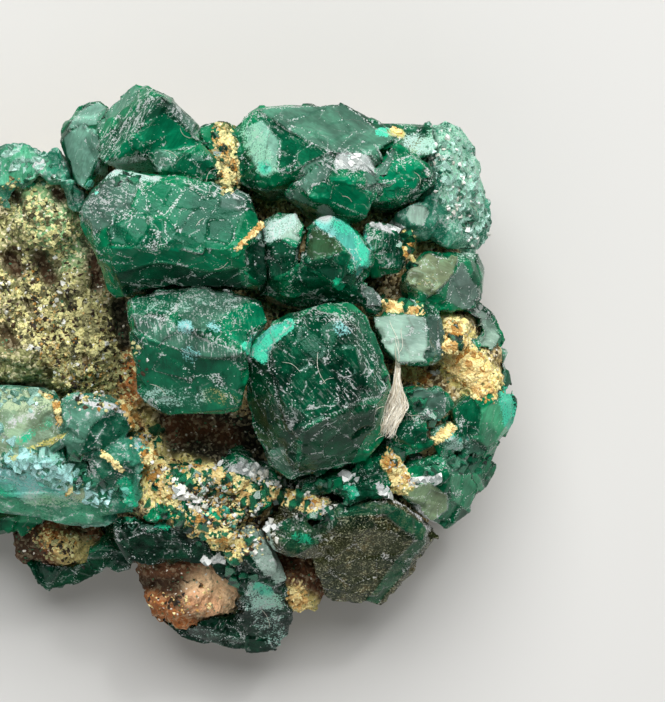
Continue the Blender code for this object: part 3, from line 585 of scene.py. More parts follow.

# Flat faces drawn where they show in the picture: paint, how white the border is, outline. Among them are faces with
# painted sheen and faces with painted shade
drawnFaces = [
    ("dimSheen", 0.3, [(99, 111), (114, 96), (135, 83), (141, 85), (130, 101), (108, 119), (96, 128)]),
    ("leaf", 0.9, [(96, 155), (101, 138), (119, 127), (138, 108), (154, 94),
                   (163, 101), (135, 128), (121, 146), (100, 165)]),
    ("deep", 0.3, [(146, 111), (161, 103), (165, 114), (150, 121), (135, 128)]),
    ("emerald", 0.7, [(100, 165), (121, 146), (150, 121), (165, 114), (196, 138),
                      (199, 143), (182, 148), (146, 155)]),
    ("greyFace", 0.5, [(161, 97), (177, 105), (199, 127), (202, 141), (194, 137), (165, 105)]),
    ("pale", 0.6, [(66, 130), (77, 108), (105, 98), (114, 100), (99, 111), (96, 122), (80, 122)]),
    ("pale", 0.2, [(63, 138), (80, 122), (96, 128), (96, 155), (80, 191), (69, 166)]),
    ("moss", 0.4, [(69, 194), (76, 177), (81, 188), (78, 205)]),
    ("dimSheen", 0.3, [(149, 163), (155, 150), (182, 151), (165, 172)]),
    ("deep", 0.5, [(165, 172), (182, 151), (210, 154), (221, 174), (166, 177)]),
    ("grey", 0.9, [(98, 170), (124, 162), (150, 161), (149, 170), (157, 178), (132, 180), (110, 174)]),
    ("greyFace", 0.8, [(77, 213), (85, 191), (110, 177), (140, 180), (132, 202), (121, 219), (91, 235)]),
    ("leaf", 0.8, [(130, 213), (143, 191), (157, 180), (177, 185), (182, 191), (166, 213), (138, 216)]),
    ("deep", 0.8, [(107, 230), (114, 210), (138, 215), (165, 219), (165, 244), (141, 248), (110, 244)]),
    ("leaf", 0.8, [(166, 219), (185, 188), (210, 182), (237, 186), (248, 197),
                   (237, 224), (232, 241), (210, 254), (185, 252), (166, 248)]),
    ("greyFace", 0.4, [(222, 186), (247, 196), (240, 212), (220, 206)]),
    ("emerald", 0.5, [(105, 247), (141, 249), (166, 248), (210, 256), (232, 268),
                      (210, 272), (160, 262), (115, 272)]),
    # painted shade: the prism's lower facet, turned away from the light
    ("shade", 0.0, [(115, 273), (160, 264), (210, 274), (238, 270), (244, 296), (180, 300), (124, 300)]),
    ("sheen", 0.9, [(257, 109), (286, 105), (327, 106), (341, 102), (358, 112),
                    (377, 128), (402, 136), (380, 153), (369, 156), (330, 150), (319, 145), (289, 131)]),
    ("deep", 0.8, [(257, 112), (289, 131), (319, 146), (330, 152), (308, 164),
                   (289, 175), (278, 167), (280, 139), (258, 120)]),
    ("pale", 0.2, [(246, 128), (262, 120), (278, 140), (276, 166), (261, 178), (250, 160)]),
    ("greyFace", 0.9, [(291, 189), (308, 161), (330, 152), (333, 155), (330, 172), (305, 194)]),
    ("whiteFace", 0.9, [(333, 161), (341, 153), (363, 153), (374, 159), (369, 170), (349, 168), (336, 168)]),
    ("emerald", 0.6, [(305, 195), (330, 175), (355, 172), (363, 190), (380, 197),
                      (371, 217), (347, 219), (330, 206), (313, 203)]),
    ("greyFace", 0.7, [(369, 158), (381, 153), (396, 148), (385, 178), (380, 196), (366, 190)]),
    ("lichen", 0.5, [(403, 137), (427, 135), (435, 147), (432, 153), (410, 150)]),
    ("emerald", 0.9, [(382, 183), (393, 157), (413, 153), (432, 172), (438, 174),
                      (420, 187), (407, 200), (390, 200)]),
    ("grey", 0.9, [(407, 207), (420, 203), (432, 213), (423, 227), (410, 223), (403, 213)]),
    ("greyFace", 0.7, [(250, 192), (291, 189), (313, 205), (300, 211), (267, 211), (250, 200)]),
    ("grey", 1.0, [(264, 236), (290, 210), (305, 219), (289, 239)]),
    ("shade", 0.5, [(247, 250), (267, 236), (289, 239), (308, 250), (291, 272), (258, 283), (247, 272)]),
    ("emerald", 0.3, [(280, 238), (294, 234), (291, 247)]),
    ("olive", 0.8, [(304, 250), (313, 228), (320, 230), (336, 236), (344, 250), (336, 261), (316, 266)]),
    ("deep", 0.4, [(300, 264), (349, 250), (360, 280), (347, 299), (308, 302), (291, 288)]),
    ("vivid", 0.9, [(313, 222), (333, 214), (355, 219), (371, 239), (373, 266),
                    (361, 280), (355, 258), (349, 250), (336, 236), (320, 230)]),
    ("deep", 0.6, [(380, 228), (402, 230), (407, 250), (402, 270), (380, 270)]),
    ("whiteFace", 0.8, [(376, 220), (392, 222), (403, 229), (398, 233), (380, 228)]),
    ("slate", 1.0, [(366, 291), (382, 292), (382, 306), (367, 306)]),
    ("oliveGrey", 0.6, [(423, 250), (460, 255), (450, 280), (430, 297), (400, 283), (410, 267)]),
    ("slate", 0.6, [(463, 260), (480, 293), (470, 313), (447, 300), (453, 277)]),
    ("grey", 0.9, [(373, 317), (410, 313), (427, 317), (428, 347), (427, 362), (397, 363), (377, 340)]),
    ("greyFace", 0.5, [(428, 313), (443, 313), (447, 353), (430, 360)]),
    ("grey", 0.8, [(470, 320), (483, 308), (503, 333), (487, 357), (477, 347)]),
    ("deep", 0.4, [(457, 340), (467, 327), (483, 357), (480, 363)]),
    ("dimSheen", 0.3, [(488, 357), (503, 336), (509, 372), (503, 395), (490, 380)]),
    ("leaf", 0.8, [(130, 297), (180, 292), (175, 307), (168, 315), (136, 312)]),
    ("dimSheen", 0.8, [(180, 295), (194, 285), (232, 291), (249, 297), (220, 318),
                       (205, 330), (191, 330), (177, 310)]),
    ("emerald", 0.8, [(223, 315), (249, 300), (272, 310), (275, 321), (249, 330), (249, 350), (220, 330)]),
    ("sheen", 0.9, [(130, 312), (168, 318), (191, 333), (211, 342), (243, 353),
                    (234, 362), (205, 359), (168, 347), (136, 330)]),
    ("leaf", 0.4, [(130, 330), (168, 347), (205, 362), (243, 356), (245, 408),
                   (197, 414), (145, 408), (137, 376)]),
    ("shade", 0.9, [(267, 348), (293, 323), (313, 307), (351, 319), (374, 348),
                    (385, 386), (380, 397), (351, 406), (305, 426), (296, 440), (278, 406), (267, 365)]),
    ("moss", 0.8, [(305, 435), (328, 417), (360, 406), (377, 406), (374, 429),
                   (351, 464), (330, 469), (297, 475)]),
    ("moss", 0.6, [(244, 357), (267, 365), (278, 406), (296, 440), (293, 475), (273, 469), (247, 435)]),
    ("deep", 0.3, [(351, 310), (362, 313), (380, 345), (388, 385), (383, 397), (374, 377), (360, 342)]),
    ("dimSheen", 0.5, [(266, 452), (282, 448), (294, 478), (276, 472)]),
    ("vivid", 0.9, [(248, 341), (264, 328), (287, 320), (291, 325), (275, 339), (267, 357), (252, 355)]),
    ("greyFace", 0.6, [(409, 386), (430, 384), (446, 395), (446, 420), (426, 420), (412, 410)]),
    ("deep", 0.6, [(394, 420), (420, 417), (432, 429), (426, 443), (400, 449), (386, 440)]),
    ("deep", 0.4, [(455, 400), (470, 392), (482, 410), (478, 440), (460, 446)]),
    ("jade", 0.5, [(482, 410), (500, 400), (514, 400), (512, 430), (490, 452), (478, 440)]),
    ("dimSheen", 0.7, [(440, 446), (470, 436), (486, 452), (476, 474), (452, 476)]),
    ("jade", 0.5, [(452, 476), (478, 474), (486, 490), (470, 514), (452, 500)]),
    ("lichen", 0.9, [(399, 490), (428, 483), (449, 497), (449, 511), (431, 525), (406, 504)]),
    ("leaf", 0.6, [(261, 529), (339, 500), (388, 500), (435, 532), (420, 545),
                   (385, 515), (340, 515), (290, 540)]),
    ("deep", 0.5, [(268, 529), (321, 512), (340, 520), (318, 548), (290, 560)]),
    ("leaf", 0.5, [(435, 532), (406, 571), (392, 589), (378, 605), (366, 602), (392, 566), (418, 540)]),
    ("whiteFace", 1.0, [(212, 468), (232, 463), (246, 458), (262, 466), (250, 476), (230, 474)]),
    ("greyFace", 0.8, [(250, 476), (262, 466), (278, 480), (270, 488)]),
    ("slate", 0.9, [(175, 490), (196, 486), (206, 496), (192, 506), (178, 503)]),
    ("shade", 0.6, [(206, 488), (236, 488), (254, 508), (232, 508)]),
    # painted sheen: the smooth bottom face, drawn whitish where it catches the light
    ("whiteFace", 0.8, [(246, 520), (262, 528), (276, 550), (281, 574), (262, 578), (242, 560), (238, 540)]),
    ("pale", 0.6, [(240, 598), (268, 586), (285, 596), (291, 640), (275, 655), (225, 655)]),
    ("deep", 0.5, [(160, 618), (190, 636), (225, 648), (240, 655), (200, 650), (150, 622)]),
    ("jade", 0.5, [(205, 548), (238, 552), (250, 580), (244, 598), (228, 584), (206, 566)]),
    ("emerald", 0.5, [(121, 529), (172, 529), (185, 553), (200, 563), (136, 563)]),
    ("deep", 0.6, [(172, 529), (186, 522), (206, 548), (204, 562), (188, 555)]),
    ("lichen", 0.4, [(-40, 384), (20, 388), (51, 400), (55, 445), (34, 459), (-40, 470)]),
    ("dimSheen", 0.7, [(55, 411), (79, 394), (103, 395), (118, 402), (90, 430), (79, 459), (55, 448)]),
    ("deep", 0.5, [(118, 402), (137, 411), (132, 428), (103, 452), (79, 459), (90, 430)]),
    ("leaf", 0.5, [(60, 462), (80, 460), (104, 456), (112, 472), (90, 490), (70, 480)]),
    ("deep", 0.6, [(112, 472), (124, 458), (136, 472), (132, 500), (114, 504), (90, 490)]),
    ("pale", 0.3, [(-40, 459), (34, 459), (60, 466), (68, 492), (-40, 496)]),
    ("jade", 0.2, [(-40, 500), (40, 500), (113, 506), (110, 524), (40, 524), (-40, 520)]),
    # painted shade on the lower left rim, under the crystals and away from the light
    ("shade", 0.2, [(16, 556), (60, 556), (100, 552), (140, 556), (140, 584), (62, 604), (16, 592)]),
    ("shade", 0.5, [(24, 560), (40, 540), (60, 572), (48, 588)]),
    ("moss", 0.6, [(60, 572), (76, 560), (113, 558), (90, 580), (50, 590)]),
    ("jade", 0.5, [(0, 145), (30, 145), (52, 160), (40, 180), (0, 186)]),
]

# Places that are rubbed white and scratched: start, end, half width, amount
rubbedPlaces = [
    ((262, 345), (375, 345), 30, 0.45),
    ((280, 400), (340, 410), 26, 0.5),
    ((140, 300), (235, 310), 16, 0.7),
    ((110, 190), (230, 215), 20, 0.4),
    ((105, 160), (150, 172), 10, 0.9),
    ((330, 160), (362, 160), 12, 0.9),
    ((265, 235), (292, 214), 10, 0.9),
    ((450, 140), (475, 235), 24, 0.7),
    ((250, 450), (290, 470), 14, 0.6),
    ((385, 325), (430, 355), 22, 0.5),
    ((205, 455), (265, 480), 14, 0.9),
    ((275, 480), (330, 520), 14, 0.7),
    ((65, 400), (130, 412), 10, 0.6),
    ((270, 545), (290, 640), 16, 0.5),
    ((120, 100), (150, 90), 10, 0.5),
    ((60, 460), (120, 500), 20, 0.4),
    ((100, 150), (155, 95), 9, 1.0),
    ((160, 98), (198, 132), 6, 0.8),
    ((80, 215), (125, 185), 14, 0.8),
    ((190, 184), (250, 194), 7, 1.0),
    ((135, 300), (245, 296), 10, 0.6),
    ((140, 320), (238, 354), 9, 0.9),
    ((348, 318), (386, 392), 6, 1.0),
    ((290, 470), (296, 440), 5, 0.7),
    ((300, 312), (350, 316), 7, 1.0),
    ((345, 372), (356, 402), 7, 0.9),
    ((340, 392), (370, 396), 7, 0.9),
    ((255, 115), (325, 150), 5, 0.6),
    ((375, 235), (405, 270), 14, 0.6),
    ((250, 240), (300, 300), 24, 0.4),
    ((0, 460), (60, 495), 22, 0.8),
    ((245, 600), (285, 645), 14, 0.4),
]


def gapTo(across, down, start, end):
    # how far each place of the picture is from the line between two others
    alongAcross, alongDown = end[0] - start[0], end[1] - start[1]
    length = max(alongAcross ** 2 + alongDown ** 2, 1e-6)
    along = ((across - start[0]) * alongAcross + (down - start[1]) * alongDown) / length
    along = np.clip(along, 0.0, 1.0)
    return np.hypot(across - start[0] - along * alongAcross, down - start[1] - along * alongDown)


def nearStretch(across, down, start, end, halfWidth):
    # 1 inside a stretch of the picture, fading to 0 past its border
    amount = np.clip(1.35 - gapTo(across, down, start, end) / halfWidth * 0.7, 0.0, 1.0)
    return amount * amount * (3 - 2 * amount)


def inStretches(across, down, stretches):
    # the most that any of the stretches covers each place
    most = np.zeros(len(across))
    for start, end, halfWidth, strength in stretches:
        most = np.maximum(most, nearStretch(across, down, start, end, halfWidth) * strength)
    return most


def cadSurface(names):
    # one tree of the solids' faces, with the node that each face belongs to
    points, faces, owners = [], [], []
    for name in names:
        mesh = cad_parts[name].data
        first = len(points)
        points.extend(vertex.co.copy() for vertex in mesh.vertices)
        for polygon in mesh.polygons:
            faces.append([first + index for index in polygon.vertices])
            owners.append(name)
    return BVHTree.FromPolygons(points, faces), owners


solidTree, solidOwners = cadSurface(sorted(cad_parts))


def solidAt(across, down):
    # the point and the node that show at one place of the picture
    place, _, index, _ = solidTree.ray_cast(eyePoint, sightLine(across, down))
    return place, None if place is None else solidOwners[index]


def readVertices(mesh, what="co"):
    values = np.empty(len(mesh.vertices) * 3, dtype=np.float32)
    mesh.vertices.foreach_get(what, values)
    return values.reshape(-1, 3).astype(np.float64)


def writeVertices(mesh, points):
    mesh.vertices.foreach_set("co", points.astype(np.float32).ravel())


def writeValues(mesh, name, values, kind="FLOAT"):
    fields = {"FLOAT": "value", "FLOAT_COLOR": "color", "FLOAT_VECTOR": "vector"}
    layer = mesh.attributes.new(name, kind, "POINT")
    layer.data.foreach_set(fields[kind], np.ascontiguousarray(values, dtype=np.float32).ravel())


def layOver(tones, colour, amount):
    # paint over what is there, keeping the amount of paint in the last column
    before = tones[:, 3]
    after = amount + before * (1 - amount)
    safe = np.maximum(after, 1e-6)
    for channel in range(3):
        tones[:, channel] = (colour[channel] * amount + tones[:, channel] * before * (1 - amount)) / safe
    tones[:, 3] = after


def insideBy(across, down, outline):
    # how far each place lies inside an outline, in the picture's steps, below 0 outside
    inside = np.zeros(len(across), dtype=bool)
    gap = np.full(len(across), np.inf)
    for start, end in zip(outline, outline[1:] + outline[:1]):
        gap = np.minimum(gap, gapTo(across, down, start, end))
        fall = end[1] - start[1]
        if fall:
            crossing = (start[1] > down) != (end[1] > down)
            inside ^= crossing & (across < start[0] + (down - start[1]) / fall * (end[0] - start[0]))
    return np.where(inside, gap, -gap)


facePlan = {
    "lookAt": (0.0, 0.35, 0.75),  # shares of the way from the middle to a corner
    "fewest": 4,
    "sameFaceMm": 2.0,
    "steepest": 1.6,
    "leanSpread": 0.02,
    "sinkMm": 0.10,
    "seed": 7,
}


def planFace(outline, dice):
    # the plane that a drawn face lies in, and the nodes that it crosses
    middle = [sum(corner[axis] for corner in outline) / len(outline) for axis in (0, 1)]
    places, owners = [], set()
    for share in facePlan["lookAt"]:
        for corner in outline:
            spot = [middle[axis] + (corner[axis] - middle[axis]) * share for axis in (0, 1)]
            place, owner = solidAt(*spot)
            if place is not None:
                places.append(place)
                owners.add(owner)
    if len(places) < facePlan["fewest"]:
        return None, owners
    spots = np.array(places)
    system = np.column_stack([spots[:, 0], spots[:, 1], np.ones(len(spots))])
    heights = spots[:, 2]
    near = np.abs(heights - np.median(heights)) < facePlan["sameFaceMm"] * mm
    plane = np.linalg.lstsq(system[near], heights[near], rcond=None)[0]
    steepest = facePlan["steepest"]
    plane[:2] = np.clip(plane[:2], -steepest, steepest) + dice.normal(0.0, facePlan["leanSpread"], 2)
    centre = spots[near].mean(axis=0)
    plane[2] = centre[2] - plane[0] * centre[0] - plane[1] * centre[1]
    plane[2] -= dice.uniform(0.0, facePlan["sinkMm"]) * mm
    return plane, owners


faceDice = np.random.default_rng(facePlan["seed"])
facePlans = [planFace(outline, faceDice) for _, _, outline in drawnFaces]


def cutFaces(points, normals, nodeName, faceTones):
    # press the drawn faces flat, paint them, and give back how white their borders are
    across, down = pictureSpots(points)
    creased = np.zeros(len(points))
    reached = normals[:, 2] > 0.06
    limit = crystalPieces["faceCutMm"] * mm
    for (paint, border, outline), (plane, owners) in zip(drawnFaces, facePlans):
        if plane is None or nodeName not in owners:
            continue
        depth = insideBy(across, down, outline)
        target = points[:, 0] * plane[0] + points[:, 1] * plane[1] + plane[2]
        target += crystalPieces["swellMm"] * mm
        gap = target - points[:, 2]
        inner = np.clip(depth / 1.2 + 0.5, 0.0, 1.0) * reached
        near = (np.abs(gap) < crystalPieces["faceReachMm"] * mm) & (normals[:, 2] > 0.15)
        points[:, 2] += np.clip(gap, -limit, limit) * inner * near
        # the face paints are the faces' own tones, with painted sheen and painted shade among them
        layOver(faceTones, glassTone(*facePaints[paint]), inner * crystalPieces["paintAmounts"].get(paint, 0.92))
        creased = np.maximum(creased, np.clip(1.35 - np.abs(depth) / 1.5, 0.0, 1.0) * reached * border)
    return points, creased


def paintCrystal(mesh, nodeName, edgePoints):
    # the paints, how far each vertex is from a bruised edge, and the pressed faces
    points, normals = readVertices(mesh), readVertices(mesh, "normal")
    across, down = pictureSpots(points)
    upward = np.clip(normals[:, 2] * 3 + 0.9, 0.0, 1.0)
    faceTones, blotchTones = np.zeros((len(points), 4)), np.zeros((len(points), 4))
    for paint, start, end, halfWidth, strength in crystalPatches:
        amount = nearStretch(across, down, start, end, halfWidth) * strength * upward
        if amount.any():
            layOver(blotchTones, glassTone(*patchPaints[paint]), amount)
    points, creased = cutFaces(points, normals, nodeName, faceTones)
    writeValues(mesh, "faceTone", faceTones, "FLOAT_COLOR")
    writeValues(mesh, "blotchTone", blotchTones, "FLOAT_COLOR")
    writeValues(mesh, "rubbed", inStretches(across, down, rubbedPlaces) * upward)
    if not edgePoints:
        return points, creased, np.full(len(points), 10 * mm)
    tree = treeOf(edgePoints)
    return points, creased, np.array([tree.find(place)[2] for place in points])


def mergedCopy(nodeName, pieceName):
    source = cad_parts[nodeName]
    mesh = source.data.copy()
    mesh.name = pieceName
    mesh.materials.clear()
    build = bmesh.new()
    build.from_mesh(mesh)
    bmesh.ops.remove_doubles(build, verts=build.verts, dist=0.002 * mm)
    build.to_mesh(mesh)
    return linkPiece(pieceName, mesh), build


def sharpEdgePoints(build):
    # points along the edges that stand out, where a crystal is bruised
    places = []
    for edge in build.edges:
        if len(edge.link_faces) != 2:
            continue
        if math.degrees(edge.calc_face_angle_signed(0.0)) < crystalPieces["sharpDegrees"]:
            continue
        start, end = edge.verts[0].co, edge.verts[1].co
        count = max(int((end - start).length / (crystalPieces["edgeStepMm"] * mm)), 1)
        for index in range(count + 1):
            places.append(start.lerp(end, index / count))
    return places


def softTexture(name, kind, sizeMm, depth=2):
    texture = bpy.data.textures.new(name, kind)
    texture.noise_scale = sizeMm * mm
    if kind == "CLOUDS":
        texture.noise_depth = depth
    return texture


crystalPieces = {
    "voxelMm": 0.13,
    "swellMm": 0.10,
    "waveMm": 0.06,
    "terraceMm": 2.1,
    "terraceDepthMm": 0.16,
    "terraceTilt": 0.05,
    "chipEveryMm": 1.5,
    "chipReachMm": (0.35, 1.15),
    "chipDepthMm": (0.06, 0.24),
    "seamMm": 0.16,
    "rimWidthMm": 0.24,
    "faceReachMm": 1.6,
    "faceCutMm": 0.35,
    "paintAmounts": {"lichen": 0.6, "jade": 0.6},
    "sharpDegrees": 24.0,
    "edgeStepMm": 0.12,
    "looks": {
        "lower_right_crystals": "golden",
        "frosted_crystal": "frosted", "upper_left_crystals": "frosted", "left_slab": "frosted",
    },
    "coarse": {"far_left_crystals": 0.16, "far_left_rim_crystals": 0.16},
    "polishTurn": {
        "long_prism": 1.1, "top_crystals": -0.5, "upper_right_crystals": 0.9, "center_crystal": 0.7,
        "center_left_crystal": 0.1, "bottom_crystals": -0.35, "left_slab": 1.2,
    },
    "polishStretch": (0.16, 0.4),
}

waveTexture = softTexture("gentleWave", "CLOUDS", 1.4)


def displace(piece, texture, depthMm, middle=0.5, group=""):
    addModifier(piece, "DISPLACE", texture=texture, texture_coords="LOCAL", strength=depthMm * mm,
                mid_level=middle, vertex_group=group)


def treeOf(points):
    tree = KDTree(max(len(points), 1))
    for index, place in enumerate(points):
        tree.insert(place, index)
    tree.balance()
    return tree


def stepTerraces(points, normals, dice, voxel):
    # growth terraces: small plates, each a little lower or more tilted than its neighbours
    count = max(int(len(points) * (voxel / crystalPieces["terraceMm"]) ** 2), 4)
    seeds = points[dice.choice(len(points), count, replace=False)]
    tree = treeOf(seeds)
    found = [tree.find_n(place, 2) for place in points]
    nearest = np.array([pair[0][1] for pair in found])
    seam = np.array([pair[1][2] - pair[0][2] for pair in found])
    drops = -dice.random(count) ** 2 * crystalPieces["terraceDepthMm"] * mm
    tilts = dice.normal(0.0, crystalPieces["terraceTilt"], (count, 3))
    values = dice.random(count)
    slope = np.einsum("ij,ij->i", points - seeds[nearest], tilts[nearest])
    low = -1.5 * crystalPieces["terraceDepthMm"] * mm
    moved = np.clip(drops[nearest] + slope - 0.04 * mm, low, 0.04 * mm)
    border = np.clip(1.25 - seam / (crystalPieces["seamMm"] * mm), 0.0, 1.0) * (values[nearest] > 0.35)
    return points + normals * moved[:, None], values[nearest], border


def breakChips(points, normals, edges, dice):
    # flat chips knocked off the edges
    chipped = np.zeros(len(points))
    if not edges:
        return points, chipped
    tree = treeOf(points)
    count = int(len(edges) * crystalPieces["edgeStepMm"] / crystalPieces["chipEveryMm"])
    for pick in dice.choice(len(edges), count, replace=False):
        place = np.array(edges[pick])
        reach = dice.uniform(*crystalPieces["chipReachMm"]) * mm
        depth = dice.uniform(*crystalPieces["chipDepthMm"]) * mm
        found = [index for _, index, _ in tree.find_range(place, reach)]
        if len(found) < 6:
            continue
        outward = normals[found].mean(axis=0) + dice.normal(0.0, 0.18, 3)
        outward /= max(np.linalg.norm(outward), 1e-9)
        above = (points[found] - place) @ outward + depth
        cut = np.maximum(above, 0.0)
        points[found] -= outward * cut[:, None]
        white = dice.random() ** 1.5
        chipped[found] = np.maximum(chipped[found], (cut > 0.0) * white)
    return points, chipped


def polishPlaces(points, nodeName):
    # coordinates drawn out along the way that the faces of a group are streaked
    turn = crystalPieces["polishTurn"].get(nodeName, sum(ord(letter) for letter in nodeName) % 7 * 0.45)
    alongShare, upShare = crystalPieces["polishStretch"]
    across = points[:, 0] * math.cos(turn) + points[:, 1] * math.sin(turn)
    along = points[:, 1] * math.cos(turn) - points[:, 0] * math.sin(turn)
    return np.column_stack([across, along * alongShare, points[:, 2] * upShare])


def dressCrystal(nodeName):
    voxel = crystalPieces["coarse"].get(nodeName, crystalPieces["voxelMm"])
    piece, build = mergedCopy(nodeName, nodeName + "_surface")
    edges = sharpEdgePoints(build)
    build.free()
    addModifier(piece, "REMESH", mode="VOXEL", voxel_size=voxel * mm)
    addModifier(piece, "SHRINKWRAP", target=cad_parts[nodeName], wrap_method="NEAREST_SURFACEPOINT",
                wrap_mode="ABOVE_SURFACE", offset=crystalPieces["swellMm"] * mm)
    applyModifiers(piece)
    mesh = piece.data
    dice = np.random.default_rng(sum(ord(letter) for letter in nodeName))
    points, creased, gaps = paintCrystal(mesh, nodeName, edges)
    rim = np.clip(1 - gaps / (crystalPieces["rimWidthMm"] * mm), 0.0, 1.0)
    normals = readVertices(mesh, "normal")
    points, terraces, borders = stepTerraces(points, normals, dice, voxel)
    points, chipped = breakChips(points, normals, edges, dice)
    writeVertices(mesh, points)
    mesh.update()
    writeValues(mesh, "polish", polishPlaces(points, nodeName), "FLOAT_VECTOR")
    writeValues(mesh, "terrace", terraces)
    writeValues(mesh, "rim", np.maximum.reduce([rim, chipped * 0.55, creased, borders * 0.85]))
    displace(piece, waveTexture, crystalPieces["waveMm"])
    applyModifiers(piece)
    look = crystalPieces["looks"].get(nodeName, "clear")
    piece.data.materials.append(finishes[look])
    piece.data.shade_smooth()
    return handOver(piece, nodeName)


crystals = [dressCrystal(name) for name in sorted(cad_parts) if name not in ("matrix", "lint_tuft")]


# The matrix: sandy, olive to ochre, brown and cream at the bottom

matrixLook = {
    "voxelMm": 0.24,
    "swellMm": 0.25,
    "lumpMm": 1.15,
    "grainMm": 0.45,
    "gritMm": 0.30,
    "holeMm": 0.9,
    "bitMm": 0.21,
    "plainPaints": ("hole", "creviceShade", "brown", "orange", "cream", "pink"),
    "flatBelowMm": 0.4,
    "flatFadeMm": 1.2,
    "dark": (50, 40, 20),
    "mid": (156, 132, 80),
    "light": (230, 204, 144),
}

matrixPaints = {
    "olive": (150, 152, 100),
    "mossy": (128, 172, 118),
    # the pits' own dark brown, darkened further with painted shade
    "hole": (58, 32, 14),
    "ochre": (206, 172, 102),
    "orange": (200, 122, 66),
    # painted shade in the crevices between lumps and under the crystals
    "creviceShade": (30, 30, 18),
    "sand": (246, 230, 146),
    "brown": (112, 72, 46),
    "cream": (255, 216, 168),
    "pink": (222, 152, 108),
    "greenSand": (104, 116, 64),
}

matrixPatches = [
    ("olive", (15, 255), (60, 375), 60, 0.75),
    ("ochre", (70, 340), (106, 385), 26, 0.6),
    ("mossy", (36, 192), (60, 246), 20, 0.95),
    ("mossy", (60, 310), (84, 340), 12, 0.6),
    ("hole", (56, 192), (60, 197), 6, 0.95),
    ("hole", (14, 194), (20, 200), 5, 0.9),
    ("hole", (10, 258), (17, 270), 8, 0.95),
    ("hole", (40, 256), (50, 278), 8, 0.95),
    ("hole", (94, 260), (97, 286), 6, 0.95),
    ("hole", (4, 330), (12, 344), 7, 0.85),
    ("hole", (62, 296), (66, 304), 4, 0.7),
    ("hole", (26, 300), (30, 310), 4, 0.7),
    ("hole", (84, 356), (88, 364), 4, 0.7),
    ("hole", (46, 366), (50, 372), 4, 0.7),
    ("creviceShade", (0, 390), (36, 394), 8, 0.9),
    ("orange", (128, 362), (130, 396), 9, 0.9),
    ("creviceShade", (119, 308), (124, 342), 8, 0.95),
    ("creviceShade", (84, 240), (92, 256), 4, 0.7),
    ("sand", (446, 326), (462, 340), 12, 1.0),
    ("sand", (458, 358), (484, 386), 18, 1.0),
    ("greenSand", (225, 130), (225, 188), 20, 0.8),
    ("creviceShade", (180, 432), (240, 444), 26, 0.8),
    ("brown", (176, 428), (225, 440), 12, 0.8),
    ("sand", (137, 434), (160, 492), 15, 0.9),
    ("sand", (184, 462), (208, 470), 7, 0.8),
    ("creviceShade", (196, 448), (250, 460), 9, 0.85),
    ("brown", (20, 548), (100, 560), 26, 0.9),
    ("creviceShade", (86, 552), (112, 560), 12, 0.8),
    ("creviceShade", (20, 536), (32, 560), 9, 0.7),
    ("orange", (52, 538), (64, 544), 9, 0.95),
    ("sand", (70, 552), (86, 556), 12, 0.7),
    ("brown", (135, 588), (215, 592), 26, 0.95),
    ("creviceShade", (142, 586), (196, 584), 7, 0.7),
    ("orange", (150, 600), (200, 636), 8, 0.7),
    ("cream", (208, 592), (236, 618), 17, 1.0),
    ("pink", (196, 600), (212, 606), 9, 0.6),
    ("brown", (280, 560), (314, 586), 16, 0.8),
    ("sand", (290, 600), (306, 606), 10, 0.9),
]


def matrixFinish():
    finish = Finish("sandyMatrix")
    lumps = finish.noise(1.8, 3.0, 0.6, 0.4)
    grain = finish.noise(0.30, 3.0, 0.7)
    bits = finish.cells(matrixLook["bitMm"], "F1", finish.shifted(0.6, 0.25))
    chance = finish.chances(bits)
    dark, mid = tone(*matrixLook["dark"]), tone(*matrixLook["mid"])
    body = finish.mix(finish.ramp(lumps, 0.36, 0.64), dark, mid)
    body = finish.mix(finish.ramp(chance[0], 0.45, 0.95, 0.0, 0.9), body, tone(*matrixLook["light"]))
    mask = finish.attribute("patchTone", "Alpha")
    mask = finish.plus(mask, finish.ramp(grain, 0.25, 0.75, -0.3, 0.3, False))
    body = finish.mix(finish.ramp(mask, 0.25, 0.6), body, finish.attribute("patchTone", "Color"))
    # each grain lighter or darker, a few of them green, a few with a painted glint
    plain = finish.attribute("plain")
    dim = finish.times(finish.ramp(chance[1], 0.0, 0.42, 0.85, 0.0),
                       finish.ramp(plain, 0.0, 1.0, 1.0, 0.45, False))
    body = finish.mix(dim, body, (0.02, 0.014, 0.006))
    bright = finish.times(finish.ramp(chance[2], 0.55, 1.0, 0.0, 0.85),
                          finish.ramp(plain, 0.0, 1.0, 1.0, 0.12, False))
    body = finish.mix(bright, body, tone(250, 236, 192))
    inner = finish.ramp(bits.outputs["Distance"], 0.30, 0.55, 1.0, 0.0)
    green = finish.times(finish.ramp(chance[0], 0.90, 0.93, 0.0, 0.8), inner)
    body = finish.mix(green, body, tone(66, 128, 92))
    spark = finish.times(finish.ramp(chance[1], 0.955, 0.965), inner)
    body = finish.mix(spark, body, tone(246, 240, 224))
    # painted shade in the sunken places
    creviceShade = finish.attribute("creviceShade")
    body = finish.mix(finish.ramp(creviceShade, 0.25, 1.0, 0.0, 0.88), body, tone(22, 16, 8))
    finish.feed(finish.shader.inputs["Base Color"], body)
    finish.feed(finish.shader.inputs["Roughness"], finish.ramp(spark, 0.0, 1.0, 0.85, 0.3))
    finish.shader.inputs["Specular IOR Level"].default_value = 0.3
    height = finish.plus(grain, finish.times(bits.outputs["Distance"], -0.8))
    finish.feed(finish.shader.inputs["Normal"], finish.bump(height, 0.8, 0.14))
    return finish.material


finishes["matrix"] = matrixFinish()


